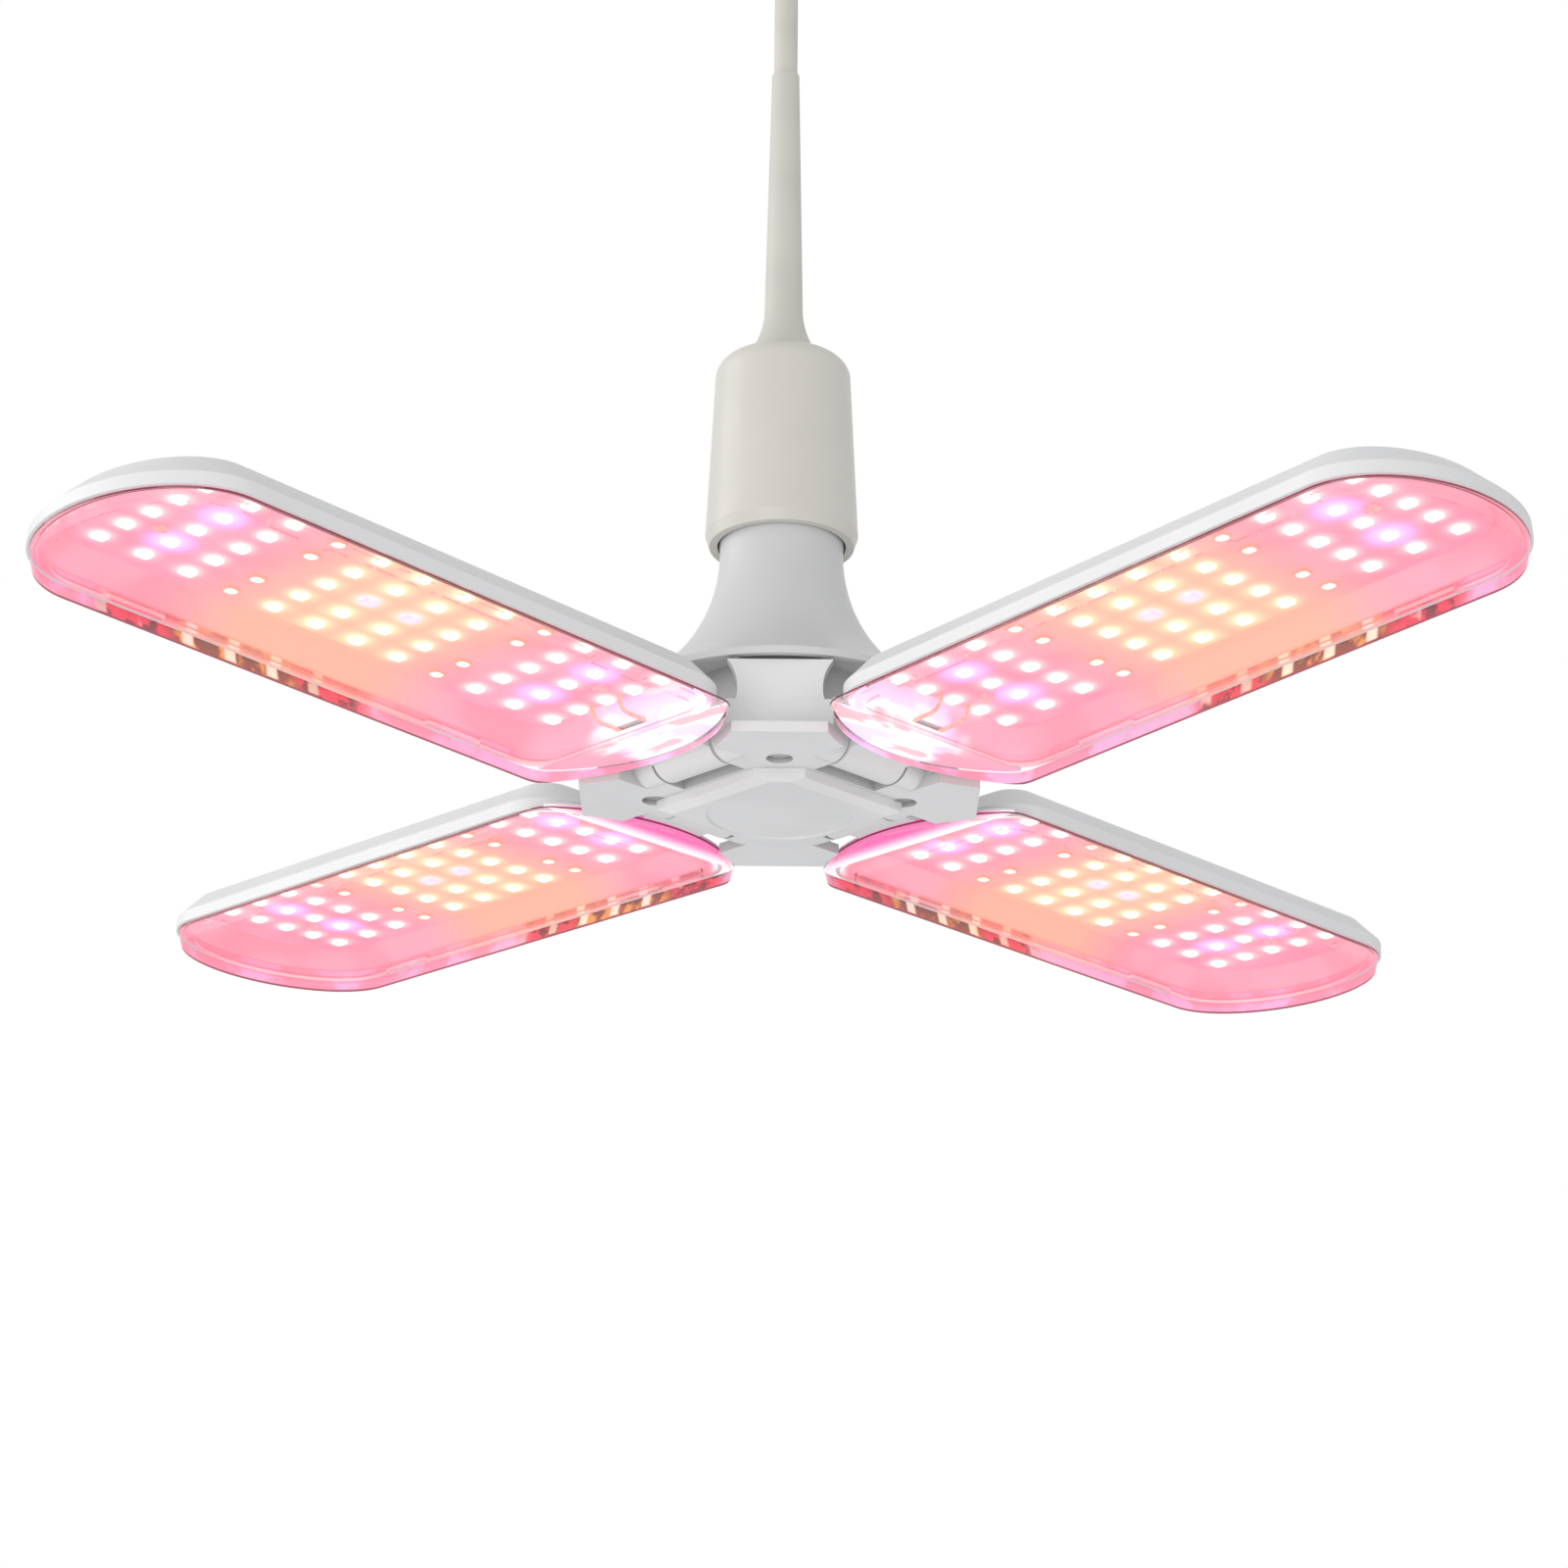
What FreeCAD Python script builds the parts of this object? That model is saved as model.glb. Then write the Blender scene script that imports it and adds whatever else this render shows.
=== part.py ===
"""Foldable grow light: a pendant lamp with a screw cap, a bell-shaped neck and four hinged LED leaves.

Heights are measured up from the parting plane between a level leaf's casing and its lens. The last
function moves everything so that the origin is the centre of the ceiling face, with +Z up.
"""
import FreeCAD, Part
import math
import os

from FreeCAD import Vector

# Leaf plan, measured from the lamp's axis along the leaf
leaf_half_width = 34.0
leaf_tip_radius = 211.0
leaf_tip_depth = 23.0
leaf_corner_radius = 12.0
leaf_shoulder_radius = 47.5
leaf_tilts = {"d": -0.75, "c": 0.65, "a": 2.6, "b": 4.2}

# Leaf section
casing_rim_height = 3.0
casing_height = 9.0
casing_bevel = 6.0
casing_wall = 2.0
casing_roof = 1.5
lens_depth = 4.0
lens_wall = 1.6
lens_floor = 1.4
lens_inset = 0.6
lens_draft = 1.0
lens_lip_height = 1.8
lens_lip_wall = 1.0
parting_gap = 0.3
ramp_end_depth = 1.6
ramp_length = 14.0
lens_end_radius = 36.0
lens_end_bow = 52.0
lens_corner_radius = 7.0
apron_inset = 0.6
apron_drop = 0.2
apron_thickness = 1.0
lens_clearance = 0.1
clip_length = 16.0
clip_proud = 1.0

# LED board
board_thickness = 1.0
board_margin = 0.8
led_length = 3.5
led_width = 2.8
led_height = 0.7
led_columns = 12
led_rows = 5
led_column_pitch = 12.0
led_row_pitch = 9.3
led_first_margin = 10.2
dim_columns = (3, 8)
blue_columns = (1, 10)
violet_columns = (5, 6)
board_screw_diameter = 2.2
board_screw_head = 3.8
board_screw_head_height = 0.8
board_screw_end = 0.4
screw_clearance = 0.02
wire_diameter = 1.0

# Hinge
hinge_radius = 28.0
hinge_height = 2.9
knuckle_radius = 5.5
knuckle_half_length = 9.5
knuckle_back_gap = 0.6
arm_top = 5.5
barrel_half_length = 16.5
barrel_step = 0.1
notch_half_width = 10.3
notch_top = 12.0
pin_diameter = 4.0
pin_half_length = 14.5
pin_running_clearance = 0.05
pin_fixed_clearance = 0.02
washer_diameter = 8.0
washer_clearance = 0.1

# Hub
post_face_radius = 39.0
post_half_width = 12.6
post_crown_radius = 34.5
post_crown_height = 3.0
post_top = 22.0
post_flute_radius = 11.0
post_flute_depth = 2.6
post_flute_height = 12.0
ear_front_radius = 48.0
ear_half_width = 20.0
ear_plate_thickness = 2.6
ear_hollow_depth = 2.0
ear_hollow_radius = 42.0
ear_hollow_half_width = 16.0
leaf_room_clearance = 1.6
hub_cavity_half_side = 15.0
cover_half_side = 20.9
cover_end_radius = 23.5
cover_height = 3.5
cover_edge_bevel = 2.6
cover_bevel_height = 1.2
cover_recess_radius = 17.6
cover_recess_depth = 0.5
cover_spigot_height = 4.0
cover_spigot_wall = 1.6
cover_clearance = 0.1
screw_radius_on_hub = 30.0
screw_shank = 3.0
screw_head = 5.6
screw_head_height = 2.0
screw_recess = 6.4
screw_recess_depth = 3.0
screw_bite = 3.0
screw_tip_room = 0.5

# Bell-shaped neck
neck_top_height = 67.0
bell_waist_drop = 5.0
bell_waist_radius = 15.2
bell_rim_radius = 41.0
bell_rim_height = 19.9
bell_lip = 1.8
bell_wall = 2.0
bell_web_thickness = 4.0
bell_web_hole = 12.5

# Screw cap
cap_shell_radius = 13.05
cap_shell_wall = 0.4
cap_shell_length = 21.0
cap_insulator_height = 4.0
cap_contact_radius = 4.6
cap_contact_height = 1.4
collar_length = 12.0
collar_wall = 2.0
cap_seat = 0.5
cap_clearance = 0.05

# Driver inside the neck
driver_board_width = 25.2
driver_board_height = 34.0
driver_board_thickness = 1.6
capacitor_radius = 5.0
capacitor_length = 16.0
coil_width = 13.0
coil_depth = 8.0
coil_height = 11.0
rectifier_width = 6.0
rectifier_depth = 2.5
rectifier_height = 5.0
driver_part_gap = 3.0
driver_part_lift = 1.0
capacitor_foot = 4.0

# Lampholder
holder_rim_drop = 3.0
holder_height = 50.5
holder_bottom_radius = 18.9
holder_top_radius = 16.7
holder_shoulder = 5.0
holder_rim_bevel = 3.0
holder_rim_narrowing = 1.0
holder_wall = 2.0
sleeve_wall = 0.5
sleeve_clearance = 0.35
sleeve_length = 24.0
insert_wall = 1.6
insert_floor = 10.0
insert_clearance = 0.15
insert_top_room = 0.4
terminal_screw_radius = 1.6

# Cord, boot and ceiling rose
cord_diameter = 6.0
cord_clearance = 0.05
boot_base_radius = 9.6
boot_neck_radius = 4.8
boot_tip_radius = 3.5
boot_flare_height = 15.0
boot_length = 81.5
boot_foot_edge = 0.8
boot_plug_clearance = 0.05
boot_plug_radius = 5.0
boot_plug_length = 5.0
cord_free_length = 36.0
grip_length = 12.0
grip_radius = 8.5
grip_flange_radius = 11.0
grip_flange_thickness = 2.5
rose_radius = 38.0
rose_height = 28.0
rose_wall = 2.0
rose_edge_round = 8.0
bracket_width = 16.0
bracket_thickness = 2.0
bracket_tab = 12.0
fixing_hole_spacing = 50.0
fixing_hole_diameter = 5.0
rose_screw_diameter = 3.0
rose_screw_head = 5.5
rose_screw_head_height = 1.4
bracket_clearance = 0.1
terminal_length = 24.0
terminal_width = 14.0
terminal_height = 10.0

# Heights worked out from the sizes above
ear_bottom = hinge_height - knuckle_radius
plate_top = ear_bottom + ear_plate_thickness
shoulder_radius = leaf_shoulder_radius
cover_bottom = ear_bottom - cover_height
web_top = post_top + bell_web_thickness
bell_waist_height = neck_top_height - bell_waist_drop
cap_bottom = neck_top_height + cap_seat
cap_top = cap_bottom + cap_shell_length
contact_top = cap_top + cap_insulator_height + cap_contact_height
holder_rim_height = neck_top_height - holder_rim_drop
holder_top = holder_rim_height + holder_height
insert_top = contact_top + cap_contact_height + insert_floor
boot_top = holder_top + boot_length
grip_bottom = boot_top + cord_free_length
rose_bottom = grip_bottom + grip_length
ceiling_height = rose_bottom + rose_height
roof_height = casing_height - casing_roof
board_bottom = roof_height - board_thickness
led_first_column = shoulder_radius + led_first_margin
wire_slot_half = led_row_pitch / 2 + wire_diameter
quarter_turns = (0, 90, 180, 270)
leaf_azimuths = {name: 45 + angle for name, angle in zip(leaf_tilts, quarter_turns)}


def block(x0, x1, y0, y1, z0, z1):
    """Box between two corners."""
    return Part.makeBox(x1 - x0, y1 - y0, z1 - z0, Vector(x0, y0, z0))


def rod(radius, length, base, direction=Vector(0, 0, 1)):
    """Solid cylinder."""
    return Part.makeCylinder(radius, length, base, direction)


def tube(outer, inner, z0, z1):
    """Upright ring about the lamp's axis."""
    return rod(outer, z1 - z0, Vector(0, 0, z0)).cut(rod(inner, z1 - z0, Vector(0, 0, z0)))


def polygon_wire(points):
    """Closed wire through points."""
    corners = [Vector(*p) for p in points]
    return Part.makePolygon(corners + corners[:1])


def prism(points, direction):
    """Closed polygon pushed along a direction."""
    return Part.Face(polygon_wire(points)).extrude(direction)


def revolve(edges):
    """Solid of revolution about the lamp's axis from a closed profile in the XZ plane."""
    return Part.Face(Part.Wire(edges)).revolve(Vector(0, 0, 0), Vector(0, 0, 1), 360)


def line(p, q):
    """Edge between two points given as radius and height."""
    return Part.LineSegment(Vector(p[0], 0, p[1]), Vector(q[0], 0, q[1])).toShape()


def arc(p, q, r):
    """Circular edge through three points given as radius and height."""
    ends = [Vector(v[0], 0, v[1]) for v in (p, q, r)]
    return Part.Arc(*ends).toShape()


def fuse_all(shapes):
    """One solid from touching shapes."""
    return shapes[0].multiFuse(shapes[1:]).removeSplitter()


def turned(shape, angle):
    """Copy turned about the lamp's axis."""
    copy = shape.copy()
    copy.rotate(Vector(0, 0, 0), Vector(0, 0, 1), angle)
    return copy


def leaf_wire(inset, z):
    """Outline of a leaf's casing in plan, drawn in by an inset."""
    half = leaf_half_width - inset
    inner = shoulder_radius + inset
    corner = max(leaf_corner_radius - inset, 1.0)
    bend = corner * (1 - math.sqrt(0.5))
    right = Vector(inner + corner, -half, z)
    left = Vector(inner + corner, half, z)
    shoulder_right = Vector(inner, -half + corner, z)
    shoulder_left = Vector(inner, half - corner, z)
    edges = outer_end(inset, z, inner + corner) + [
        Part.Arc(left, Vector(inner + bend, half - bend, z), shoulder_left).toShape(),
        Part.LineSegment(shoulder_left, shoulder_right).toShape(),
        Part.Arc(shoulder_right, Vector(inner + bend, -half + bend, z), right).toShape(),
    ]
    return Part.Wire(Part.__sortEdges__(edges))


def outer_end(inset, z, start):
    """Both long sides of a leaf from a start radius on, with the rounded tip between them."""
    half = leaf_half_width - inset
    tip_start = leaf_tip_radius - leaf_tip_depth
    tip = Part.Ellipse(Vector(tip_start, half, z), Vector(tip_start + leaf_tip_depth - inset, 0, z),
                       Vector(tip_start, 0, z))
    return [
        Part.LineSegment(Vector(start, -half, z), Vector(tip_start, -half, z)).toShape(),
        Part.ArcOfEllipse(tip, 0, math.pi).toShape(),
        Part.LineSegment(Vector(tip_start, half, z), Vector(start, half, z)).toShape(),
    ]


def lens_wire(inset, z):
    """Outline of a leaf's lens in plan: a bowed inner end that reaches to the hinge, with rounded corners."""
    half = leaf_half_width - inset
    bow = lens_end_bow - inset
    corner = lens_corner_radius
    centre = lens_end_radius + lens_end_bow
    reach = math.sqrt((bow - corner) ** 2 - (half - corner) ** 2)
    start = centre - reach
    touch = bow / (bow - corner)
    edges = outer_end(inset, z, start)
    ends = [Vector(centre - reach * touch, y * (half - corner) * touch, z) for y in (-1, 1)]
    edges.append(Part.Arc(ends[0], Vector(centre - bow, 0, z), ends[1]).toShape())
    for y, end in zip((-1, 1), ends):
        pivot = Vector(start, y * (half - corner), z)
        outward = (end - pivot) / corner + Vector(0, y, 0)
        outward.normalize()
        edges.append(Part.Arc(end, pivot + outward * corner, Vector(start, y * half, z)).toShape())
    return Part.Wire(Part.__sortEdges__(edges))


def leaf_slab(inset, z0, z1):
    """Straight-sided leaf outline between two heights."""
    return Part.Face(leaf_wire(inset, z0)).extrude(Vector(0, 0, z1 - z0))


def leaf_taper(inset0, z0, inset1, z1):
    """Leaf outline that draws in evenly between two heights."""
    return Part.makeLoft([leaf_wire(inset0, z0), leaf_wire(inset1, z1)], True, True)


def leaf_casing():
    """White back of a leaf: rim, bevel and flat back, with an apron over the lens and a hinge arm."""
    outer = leaf_slab(0, 0, casing_rim_height).fuse(
        leaf_taper(0, casing_rim_height, casing_bevel, casing_height))
    slope = (casing_height - casing_rim_height) / casing_bevel
    inner_rim = casing_rim_height - casing_wall * 0.4
    roof_inset = casing_wall + (roof_height - inner_rim) / slope
    hollow = leaf_slab(casing_wall, 0, inner_rim).fuse(
        leaf_taper(casing_wall, inner_rim, roof_inset, roof_height))
    shell = outer.cut(hollow)
    knuckle = rod(knuckle_radius, 2 * knuckle_half_length,
                  Vector(hinge_radius, -knuckle_half_length, hinge_height), Vector(0, 1, 0))
    arm = block(hinge_radius, shoulder_radius + casing_wall, -knuckle_half_length,
                knuckle_half_length, 0, arm_top)
    apron = Part.Face(lens_wire(lens_inset + apron_inset, -apron_drop)).extrude(
        Vector(0, 0, apron_thickness))
    apron = apron.common(block(0, shoulder_radius + casing_wall, -leaf_half_width, leaf_half_width,
                               -apron_drop, apron_thickness))
    casing = fuse_all([shell, apron, arm, knuckle])
    bore = rod(pin_diameter / 2 + pin_running_clearance, 2 * notch_half_width,
               Vector(hinge_radius, -notch_half_width, hinge_height), Vector(0, 1, 0))
    wire_slot = block(shoulder_radius - casing_wall, shoulder_radius + 2 * casing_wall, -wire_slot_half,
                      wire_slot_half, casing_wall, casing_wall + 1.5 * wire_diameter)
    screws = [rod(board_screw_diameter / 2, casing_roof - board_screw_end / 2,
                  Vector(x, y, roof_height)) for x, y in board_screw_places()]
    return casing.cut(bore).cut(wire_slot).cut(Part.makeCompound(screws))


def leaf_lens():
    """Clear tray under a leaf, with a sloping inner end that clears the hub when the leaf folds."""
    end = lens_end_radius
    outer = Part.makeLoft([lens_wire(lens_inset, -parting_gap),
                           lens_wire(lens_inset + lens_draft, -lens_depth)], True, True)
    ramp_start = end + ramp_length
    reach = leaf_half_width
    ramp = prism([(end - 1, -reach, -ramp_end_depth), (ramp_start, -reach, -lens_depth),
                  (ramp_start, -reach, -2 * lens_depth), (end - 1, -reach, -2 * lens_depth)],
                 Vector(0, 2 * reach, 0))
    wall_inset = lens_inset + lens_wall
    floor_height = lens_floor - lens_depth
    tray = leaf_taper(wall_inset + casing_wall, 0, wall_inset + casing_wall + lens_draft, floor_height)
    lip_inset = casing_wall + lens_clearance
    lip = leaf_slab(lip_inset, -parting_gap, lens_lip_height).cut(
        leaf_slab(lip_inset + lens_lip_wall, -parting_gap, lens_lip_height))
    lip = lip.cut(block(0, shoulder_radius + leaf_corner_radius, -leaf_half_width, leaf_half_width,
                        -parting_gap, lens_lip_height))
    clips = []
    clip_side = leaf_half_width - wall_inset - casing_wall - lens_draft
    for x in clip_places():
        for side in (1, -1):
            y = side * (clip_side - clip_proud)
            clips.append(block(x - clip_length / 2, x + clip_length / 2, min(y, y + side * 2 * clip_proud),
                               max(y, y + side * 2 * clip_proud), floor_height, -parting_gap))
    return fuse_all([outer.cut(ramp).cut(tray), lip] + clips)


def clip_places():
    """Distances from the axis at which the lens has snap clips on both sides."""
    tip_start = leaf_tip_radius - leaf_tip_depth
    return (shoulder_radius + 2 * clip_length, tip_start - clip_length)


def board_screw_places():
    """Screw positions on the leaf's board, in plan."""
    first = led_first_column + 0.5 * led_column_pitch
    last = led_first_column + (led_columns - 1.5) * led_column_pitch
    return [(first, led_row_pitch / 2), (last, -led_row_pitch / 2)]


def leaf_board():
    """LED board that lies against the casing's roof."""
    slope = (casing_height - casing_rim_height) / casing_bevel
    roof_inset = casing_wall + (roof_height - casing_rim_height + casing_wall * 0.4) / slope
    board = leaf_slab(roof_inset + board_margin, board_bottom, roof_height)
    holes = [rod(board_screw_diameter / 2, board_thickness, Vector(x, y, board_bottom))
             for x, y in board_screw_places()]
    return board.cut(Part.makeCompound(holes))


def board_screws():
    """Screws that hold the board to the casing."""
    solids = []
    for x, y in board_screw_places():
        shank = rod(board_screw_diameter / 2 - screw_clearance,
                    board_thickness + casing_roof - board_screw_end, Vector(x, y, board_bottom))
        head = rod(board_screw_head / 2, board_screw_head_height,
                   Vector(x, y, board_bottom - board_screw_head_height))
        solids.append(fuse_all([head, shank]))
    return Part.makeCompound(solids)


def led_kind(column, row):
    """Which light a lattice place carries: white, blue, red, or None where the board is bare."""
    middle = led_rows // 2
    if column in dim_columns:
        return None if row == middle else "red"
    if column in blue_columns and abs(row - middle) == 1:
        return "blue"
    if column in violet_columns and row == middle:
        return "blue"
    return "white"


def leaf_leds(kind):
    """All chips of one kind on a leaf's board."""
    chips = []
    for column in range(led_columns):
        for row in range(led_rows):
            if led_kind(column, row) == kind:
                x = led_first_column + column * led_column_pitch
                y = (row - (led_rows - 1) / 2) * led_row_pitch
                chips.append(block(x - led_length / 2, x + led_length / 2, y - led_width / 2,
                                   y + led_width / 2, board_bottom - led_height, board_bottom))
    return Part.makeCompound(chips)


def leaf_wires():
    """Two leads from the board's inner end to the slot beside the hinge."""
    solids = []
    start_x = led_first_column
    radius = wire_diameter / 2
    z = casing_wall + 0.75 * wire_diameter
    top = board_bottom
    for side in (1, -1):
        y = side * led_row_pitch / 2
        bend = (top - z) * 0.9
        a = Vector(start_x, y, top)
        b = Vector(start_x, y, z + bend)
        c = Vector(start_x - bend * (1 - math.sqrt(0.5)), y, z + bend * (1 - math.sqrt(0.5)))
        d = Vector(start_x - bend, y, z)
        e = Vector(shoulder_radius, y, z)
        path = Part.Wire([Part.LineSegment(a, b).toShape(), Part.Arc(b, c, d).toShape(),
                          Part.LineSegment(d, e).toShape()])
        ring = Part.Wire([Part.Circle(a, Vector(0, 0, -1), radius).toShape()])
        solids.append(path.makePipeShell([ring], True, False))
    return Part.makeCompound(solids)


def set_leaf(shape, name):
    """Tilts a leaf piece about its hinge and turns it to its side of the hub."""
    copy = shape.copy()
    copy.rotate(Vector(hinge_radius, 0, hinge_height), Vector(0, 1, 0), -leaf_tilts[name])
    return turned(copy, leaf_azimuths[name])


def hub_body():
    """Hub under the bell: hollow core, four posts on flat ears, and hinge barrels between the posts."""
    low = ear_bottom - 1
    high = post_top + 1
    span = 2 * ear_front_radius
    post = block(0, post_face_radius, -post_half_width, post_half_width, ear_bottom, post_top)
    for side in (1, -1):
        y = side * (post_half_width - post_flute_depth + post_flute_radius)
        post = post.cut(rod(post_flute_radius, post_face_radius, Vector(0, y, post_flute_height),
                            Vector(1, 0, 0)))
    plate = block(0, ear_front_radius, -ear_half_width, ear_half_width, ear_bottom, plate_top)
    cove_radius = ear_front_radius - post_face_radius
    cove = block(post_face_radius, ear_front_radius, -post_half_width, post_half_width, plate_top,
                 plate_top + cove_radius)
    cove = cove.cut(rod(cove_radius, 2 * post_half_width,
                        Vector(ear_front_radius, -post_half_width, plate_top + cove_radius), Vector(0, 1, 0)))
    corner = math.sqrt(2) * cover_half_side - cover_end_radius
    hollow = prism([(cover_end_radius, -corner, low), (ear_hollow_radius, -ear_hollow_half_width, low),
                    (ear_hollow_radius, ear_hollow_half_width, low), (cover_end_radius, corner, low)],
                   Vector(0, 0, high - low))
    hollow = hollow.common(prism([(cover_end_radius, -ear_half_width, low),
                                  (ear_hollow_radius, -ear_half_width, low),
                                  (ear_hollow_radius, -ear_half_width, ear_bottom),
                                  (cover_end_radius, -ear_half_width, ear_bottom + ear_hollow_depth)],
                                 Vector(0, 2 * ear_half_width, 0)))
    core = block(-hinge_radius, hinge_radius, -hinge_radius, hinge_radius, ear_bottom, post_top)
    limit = block(-post_face_radius, post_face_radius, -post_face_radius, post_face_radius, ear_bottom, post_top)
    pieces = [turned(shape, angle) for angle in quarter_turns for shape in (post, plate, cove)]
    body = fuse_all([turned(core, 45).common(limit)] + pieces)
    body = body.cut(tube(span, post_crown_radius, post_top - post_crown_height, high))
    side_room = block(hinge_radius, span, -barrel_half_length, barrel_half_length, low, high)
    leaf_room = Part.Face(lens_wire(lens_inset - leaf_room_clearance, low)).extrude(Vector(0, 0, high - low))
    notch = block(hinge_radius - knuckle_radius - knuckle_back_gap, span, -notch_half_width, notch_half_width,
                  low, notch_top)
    bore = rod(pin_diameter / 2 + pin_fixed_clearance, 2 * pin_half_length + 1,
               Vector(hinge_radius, -pin_half_length - 0.5, hinge_height), Vector(0, 1, 0))
    lugs = []
    lug_length = barrel_half_length + barrel_step - notch_half_width
    for azimuth in leaf_azimuths.values():
        for room in (side_room, leaf_room, notch):
            body = body.cut(turned(room, azimuth))
        for start in (notch_half_width, -notch_half_width - lug_length):
            lug = rod(knuckle_radius - barrel_step, lug_length, Vector(hinge_radius, start, hinge_height),
                      Vector(0, 1, 0))
            lugs.append(turned(lug, azimuth))
    body = fuse_all([body] + lugs)
    for azimuth in leaf_azimuths.values():
        body = body.cut(turned(bore, azimuth))
    cavity = block(-hub_cavity_half_side, hub_cavity_half_side, -hub_cavity_half_side,
                   hub_cavity_half_side, ear_bottom, post_top)
    body = body.cut(turned(cavity, 45))
    for angle in quarter_turns:
        hole = rod(screw_shank / 2, post_top - ear_bottom, Vector(screw_radius_on_hub, 0, ear_bottom))
        recess = rod(screw_recess / 2, screw_recess_depth, Vector(screw_radius_on_hub, 0, ear_bottom))
        body = body.cut(turned(hollow, angle)).cut(turned(hole.fuse(recess), angle))
    return body


def hub_screws():
    """Four screws, up through the ears into the bell."""
    head_bottom = ear_bottom + screw_recess_depth - screw_head_height
    head = rod(screw_head / 2, screw_head_height, Vector(screw_radius_on_hub, 0, head_bottom))
    shank = rod(screw_shank / 2 - screw_clearance, post_top + screw_bite - head_bottom,
                Vector(screw_radius_on_hub, 0, head_bottom))
    screw = fuse_all([head, shank])
    return Part.makeCompound([turned(screw, angle) for angle in quarter_turns])


def ended_square(half_side, end, z0, z1):
    """Upright square block, its corners on the axes, with the front and back corners cut off."""
    square = block(-half_side, half_side, -half_side, half_side, z0, z1)
    return turned(square, 45).common(block(-2 * half_side, 2 * half_side, -end, end, z0, z1))


def bottom_cover():
    """Square cover with two cut corners, bevelled edges and a shallow round recess."""
    bevel_top = cover_bottom + cover_bevel_height
    plain = ended_square(cover_half_side, cover_end_radius, bevel_top, ear_bottom)
    wires = []
    for inset, z in ((cover_edge_bevel, cover_bottom), (0, bevel_top)):
        slab = ended_square(cover_half_side - inset, cover_end_radius, z, z + 1)
        face = min(slab.Faces, key=lambda f: f.CenterOfMass.z)
        wires.append(face.OuterWire)
    body = plain.fuse(Part.makeLoft(wires, True, True))
    recess = rod(cover_recess_radius, cover_recess_depth, Vector(0, 0, cover_bottom))
    half = hub_cavity_half_side - cover_clearance
    inner = half - cover_spigot_wall
    top = ear_bottom + cover_spigot_height
    spigot = block(-half, half, -half, half, ear_bottom, top).cut(
        block(-inner, inner, -inner, inner, ear_bottom, top))
    return fuse_all([body.cut(recess), turned(spigot, 45)])


def hinge_pins():
    """Steel pins that the leaves turn on."""
    pin = rod(pin_diameter / 2, 2 * pin_half_length, Vector(hinge_radius, -pin_half_length, hinge_height),
              Vector(0, 1, 0))
    return Part.makeCompound([turned(pin, azimuth) for azimuth in leaf_azimuths.values()])


def hinge_washers():
    """Friction washers between each knuckle and the lugs beside it."""
    thickness = notch_half_width - knuckle_half_length - 2 * washer_clearance
    start = knuckle_half_length + washer_clearance
    solids = []
    for azimuth in leaf_azimuths.values():
        for y in (start, -start - thickness):
            base = Vector(hinge_radius, y, hinge_height)
            ring = rod(washer_diameter / 2, thickness, base, Vector(0, 1, 0)).cut(
                rod(pin_diameter / 2 + pin_running_clearance, thickness, base, Vector(0, 1, 0)))
            solids.append(turned(ring, azimuth))
    return Part.makeCompound(solids)


def bell_arc(offset):
    """Centre and radius of the bell's flare, a circle through the rim that is upright at the waist."""
    rise = bell_waist_height - bell_rim_height - bell_lip
    run = bell_rim_radius - bell_waist_radius
    radius = (run * run + rise * rise) / (2 * run)
    return bell_waist_radius + radius, bell_waist_height, radius + offset


def bell_radius(z, offset=0.0):
    """Radius of the bell at a height, or of a surface inside it."""
    centre, height, radius = bell_arc(offset)
    return centre - math.sqrt(radius * radius - (height - z) ** 2)


def neck_shell():
    """Bell-shaped neck: flared shell with a thin lip, a web to seat on the hub and a collar for the cap."""
    rim = bell_rim_height
    lip_top = rim + bell_lip
    middle = (lip_top + neck_top_height) / 2
    inner_top = neck_top_height - bell_wall
    inner_middle = (web_top + inner_top) / 2
    outside = [
        line((0, neck_top_height), (bell_radius(neck_top_height), neck_top_height)),
        arc((bell_radius(neck_top_height), neck_top_height), (bell_radius(middle), middle),
            (bell_radius(lip_top), lip_top)),
        line((bell_radius(lip_top), lip_top), (bell_radius(lip_top), rim)),
        line((bell_radius(lip_top), rim), (bell_radius(lip_top) - bell_wall, rim)),
    ]
    skirt_top = post_top
    skirt = bell_radius(skirt_top, bell_wall)
    low = bell_radius(lip_top) - bell_wall
    outside += [line((low, rim), (skirt, skirt_top)), line((skirt, skirt_top), (0, skirt_top)),
                line((0, skirt_top), (0, neck_top_height))]
    body = revolve(outside)
    room = revolve([
        line((0, web_top), (bell_radius(web_top, bell_wall), web_top)),
        arc((bell_radius(web_top, bell_wall), web_top), (bell_radius(inner_middle, bell_wall), inner_middle),
            (bell_radius(inner_top, bell_wall), inner_top)),
        line((bell_radius(inner_top, bell_wall), inner_top), (0, inner_top)),
        line((0, inner_top), (0, web_top)),
    ])
    body = body.cut(room)
    collar = cap_shell_radius - cap_shell_wall - cap_clearance
    wire_way = collar - collar_wall
    body = body.fuse(tube(collar, wire_way, inner_top, neck_top_height + collar_length))
    body = body.cut(rod(wire_way, 2 * bell_wall + collar_length, Vector(0, 0, inner_top - 1)))
    body = body.cut(rod(bell_web_hole, 2 * bell_web_thickness, Vector(0, 0, skirt_top - 1)))
    for angle in quarter_turns:
        pilot = rod(screw_shank / 2, screw_bite + screw_tip_room, Vector(screw_radius_on_hub, 0, skirt_top))
        body = body.cut(turned(pilot, angle))
    return body.removeSplitter()


def cap_shell():
    """Metal screw shell of the lamp's cap."""
    return tube(cap_shell_radius, cap_shell_radius - cap_shell_wall, cap_bottom, cap_top)


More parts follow.
